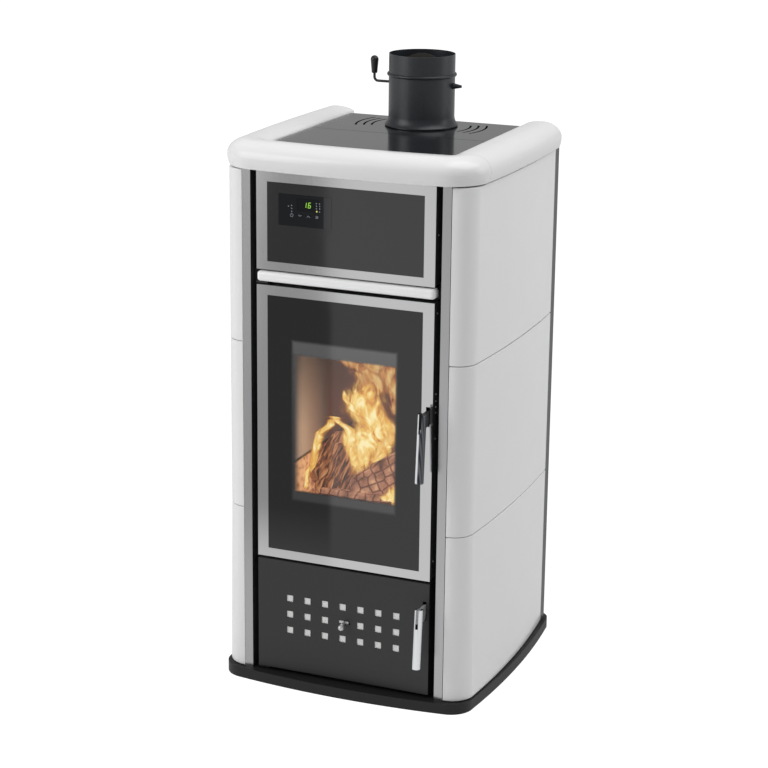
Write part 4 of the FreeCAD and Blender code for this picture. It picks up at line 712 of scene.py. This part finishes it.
# Floor, world and lights
floor_mesh = bmesh.new()
bmesh.ops.create_grid(floor_mesh, x_segments=1, y_segments=1, size=30)
floor_data = bpy.data.meshes.new("floor")
floor_mesh.to_mesh(floor_data)
floor_mesh.free()
floor = bpy.data.objects.new("floor", floor_data)
bpy.context.scene.collection.objects.link(floor)
floor_material, floor_tree, floor_out = start("white_floor")
spot = place_axes(floor_tree)
from_door = maths(floor_tree, "SUBTRACT", door_y, spot["Y"])
sideways = maths(floor_tree, "MULTIPLY_ADD", spot["X"], 4.203, 0.031 * 4.203)
onwards = maths(floor_tree, "MULTIPLY_ADD", from_door, 1.869, sideways)
# In the photo the upper panel mirrors the bands further left than the door, so here they shift with distance
panel_shift = span(floor_tree, from_door, 3.15, 3.99, to_high=0.13)
# Mirrored in the stove's front the floor shows upright bands: white far left, grey, then white
across_view = span(floor_tree, maths(floor_tree, "ADD", onwards, panel_shift), -4.0, 4.0)
bands = ramp(floor_tree, across_view, [
    (0.26, "#F9F9F9"), (0.35, "#B2B2B2"), (0.498, "#B2B2B2"), (0.502, "#FAFAFA"), (0.80, "#F6F6F6"),
    (0.95, "#D0D0D0")])
near_stove = span(floor_tree, from_door, 1.1, 0.75, to_high=0.8)
in_front = blend(floor_tree, near_stove, bands, colour("#FAFAFA"))
beside_stove = span(floor_tree, from_door, 0.3, -0.3)
mirrored = blend(floor_tree, beside_stove, in_front, colour("#DADADA"))
ray = add(floor_tree, "LightPath")
floor_shader = add(floor_tree, "BsdfDiffuse", {"Color": (0.72, 0.72, 0.72, 1)})
mirrored_glow = add(floor_tree, "Emission", {"Color": mirrored})
seen_glow = add(floor_tree, "Emission", {"Strength": 1.1})
lit_or_mirrored = add(floor_tree, "MixShader", {0: ray.outputs["Is Glossy Ray"], 1: floor_shader.outputs[0],
                                                2: mirrored_glow.outputs[0]})
seen = maths(floor_tree, "MULTIPLY", ray.outputs["Is Camera Ray"], 0.97)
floor_mix = add(floor_tree, "MixShader", {0: seen, 1: lit_or_mirrored.outputs[0], 2: seen_glow.outputs[0]})
floor_tree.links.new(floor_mix.outputs[0], floor_out.inputs["Surface"])
floor_data.materials.append(floor_material)

scene = bpy.context.scene
world = bpy.data.worlds.new("studio")
scene.world = world
world.use_nodes = True
sky = world.node_tree
sky.nodes.clear()
sky_out = sky.nodes.new("ShaderNodeOutputWorld")
sky_ray = add(sky, "LightPath")
# White behind the stove. The room light falls off in front on the right, where the studio is dark.
# Mirrors see a darker room in front of the stove than behind it.
heading = add(sky, "TexCoord").outputs["Generated"]
dark_side = add(sky, "VectorMath", {0: heading, 1: (0.75, -0.66, 0.0)}, operation="DOT_PRODUCT")
lighting = span(sky, dark_side.outputs["Value"], 0.5, 0.88, 0.67, 0.0, smooth=True)
aim = add(sky, "SeparateXYZ", {"Vector": heading})
mirrored_sky = span(sky, aim.outputs["Y"], 0.2, 0.7, 0.30, 0.46)
plain = add(sky, "Mix", {"Factor": sky_ray.outputs["Is Glossy Ray"], 2: lighting, 3: mirrored_sky}).outputs[0]
level = maths(sky, "MULTIPLY_ADD", sky_ray.outputs["Is Camera Ray"], 0.7, plain)
back = add(sky, "Background", {"Color": (1, 1, 1, 1), "Strength": level})
sky.links.new(back.outputs[0], sky_out.inputs["Surface"])


def soft_box(name, place, aim, width, height, power):
    """Rectangular soft light aimed at a point."""
    data = bpy.data.lights.new(name, "AREA")
    data.shape = "RECTANGLE"
    data.size = width
    data.size_y = height
    data.energy = power
    made = bpy.data.objects.new(name, data)
    made.location = place
    made.rotation_euler = (Vector(aim) - Vector(place)).to_track_quat("-Z", "Y").to_euler()
    scene.collection.objects.link(made)
    return made


soft_box("key_left", (-2.6, -2.6, 2.4), (0, 0, 0.7), 2.4, 3.0, 55)
soft_box("fill_right", (3.2, 1.2, 2.0), (0, 0.1, 1.0), 1.4, 2.4, 12)
soft_box("overhead", (1.1, 0.1, 3.6), (0, 0, 0.9), 2.4, 2.4, 36)

# Camera built from its yaw, pitch and roll
level_ahead = Vector((-math.sin(camera_yaw), math.cos(camera_yaw), 0))
ahead = level_ahead * math.cos(camera_pitch) - Vector((0, 0, math.sin(camera_pitch)))
level_right = Vector((math.cos(camera_yaw), math.sin(camera_yaw), 0))
level_up = level_right.cross(ahead)
right = math.cos(camera_roll) * level_right + math.sin(camera_roll) * level_up
up = math.cos(camera_roll) * level_up - math.sin(camera_roll) * level_right
camera_data = bpy.data.cameras.new("camera")
camera_data.sensor_width = 36
camera_data.lens = 102.26
camera = bpy.data.objects.new("camera", camera_data)
camera.matrix_world = Matrix((
    (right.x, up.x, -ahead.x, camera_place.x),
    (right.y, up.y, -ahead.y, camera_place.y),
    (right.z, up.z, -ahead.z, camera_place.z),
    (0, 0, 0, 1)))
scene.collection.objects.link(camera)
scene.camera = camera
scene.view_settings.view_transform = "Standard"
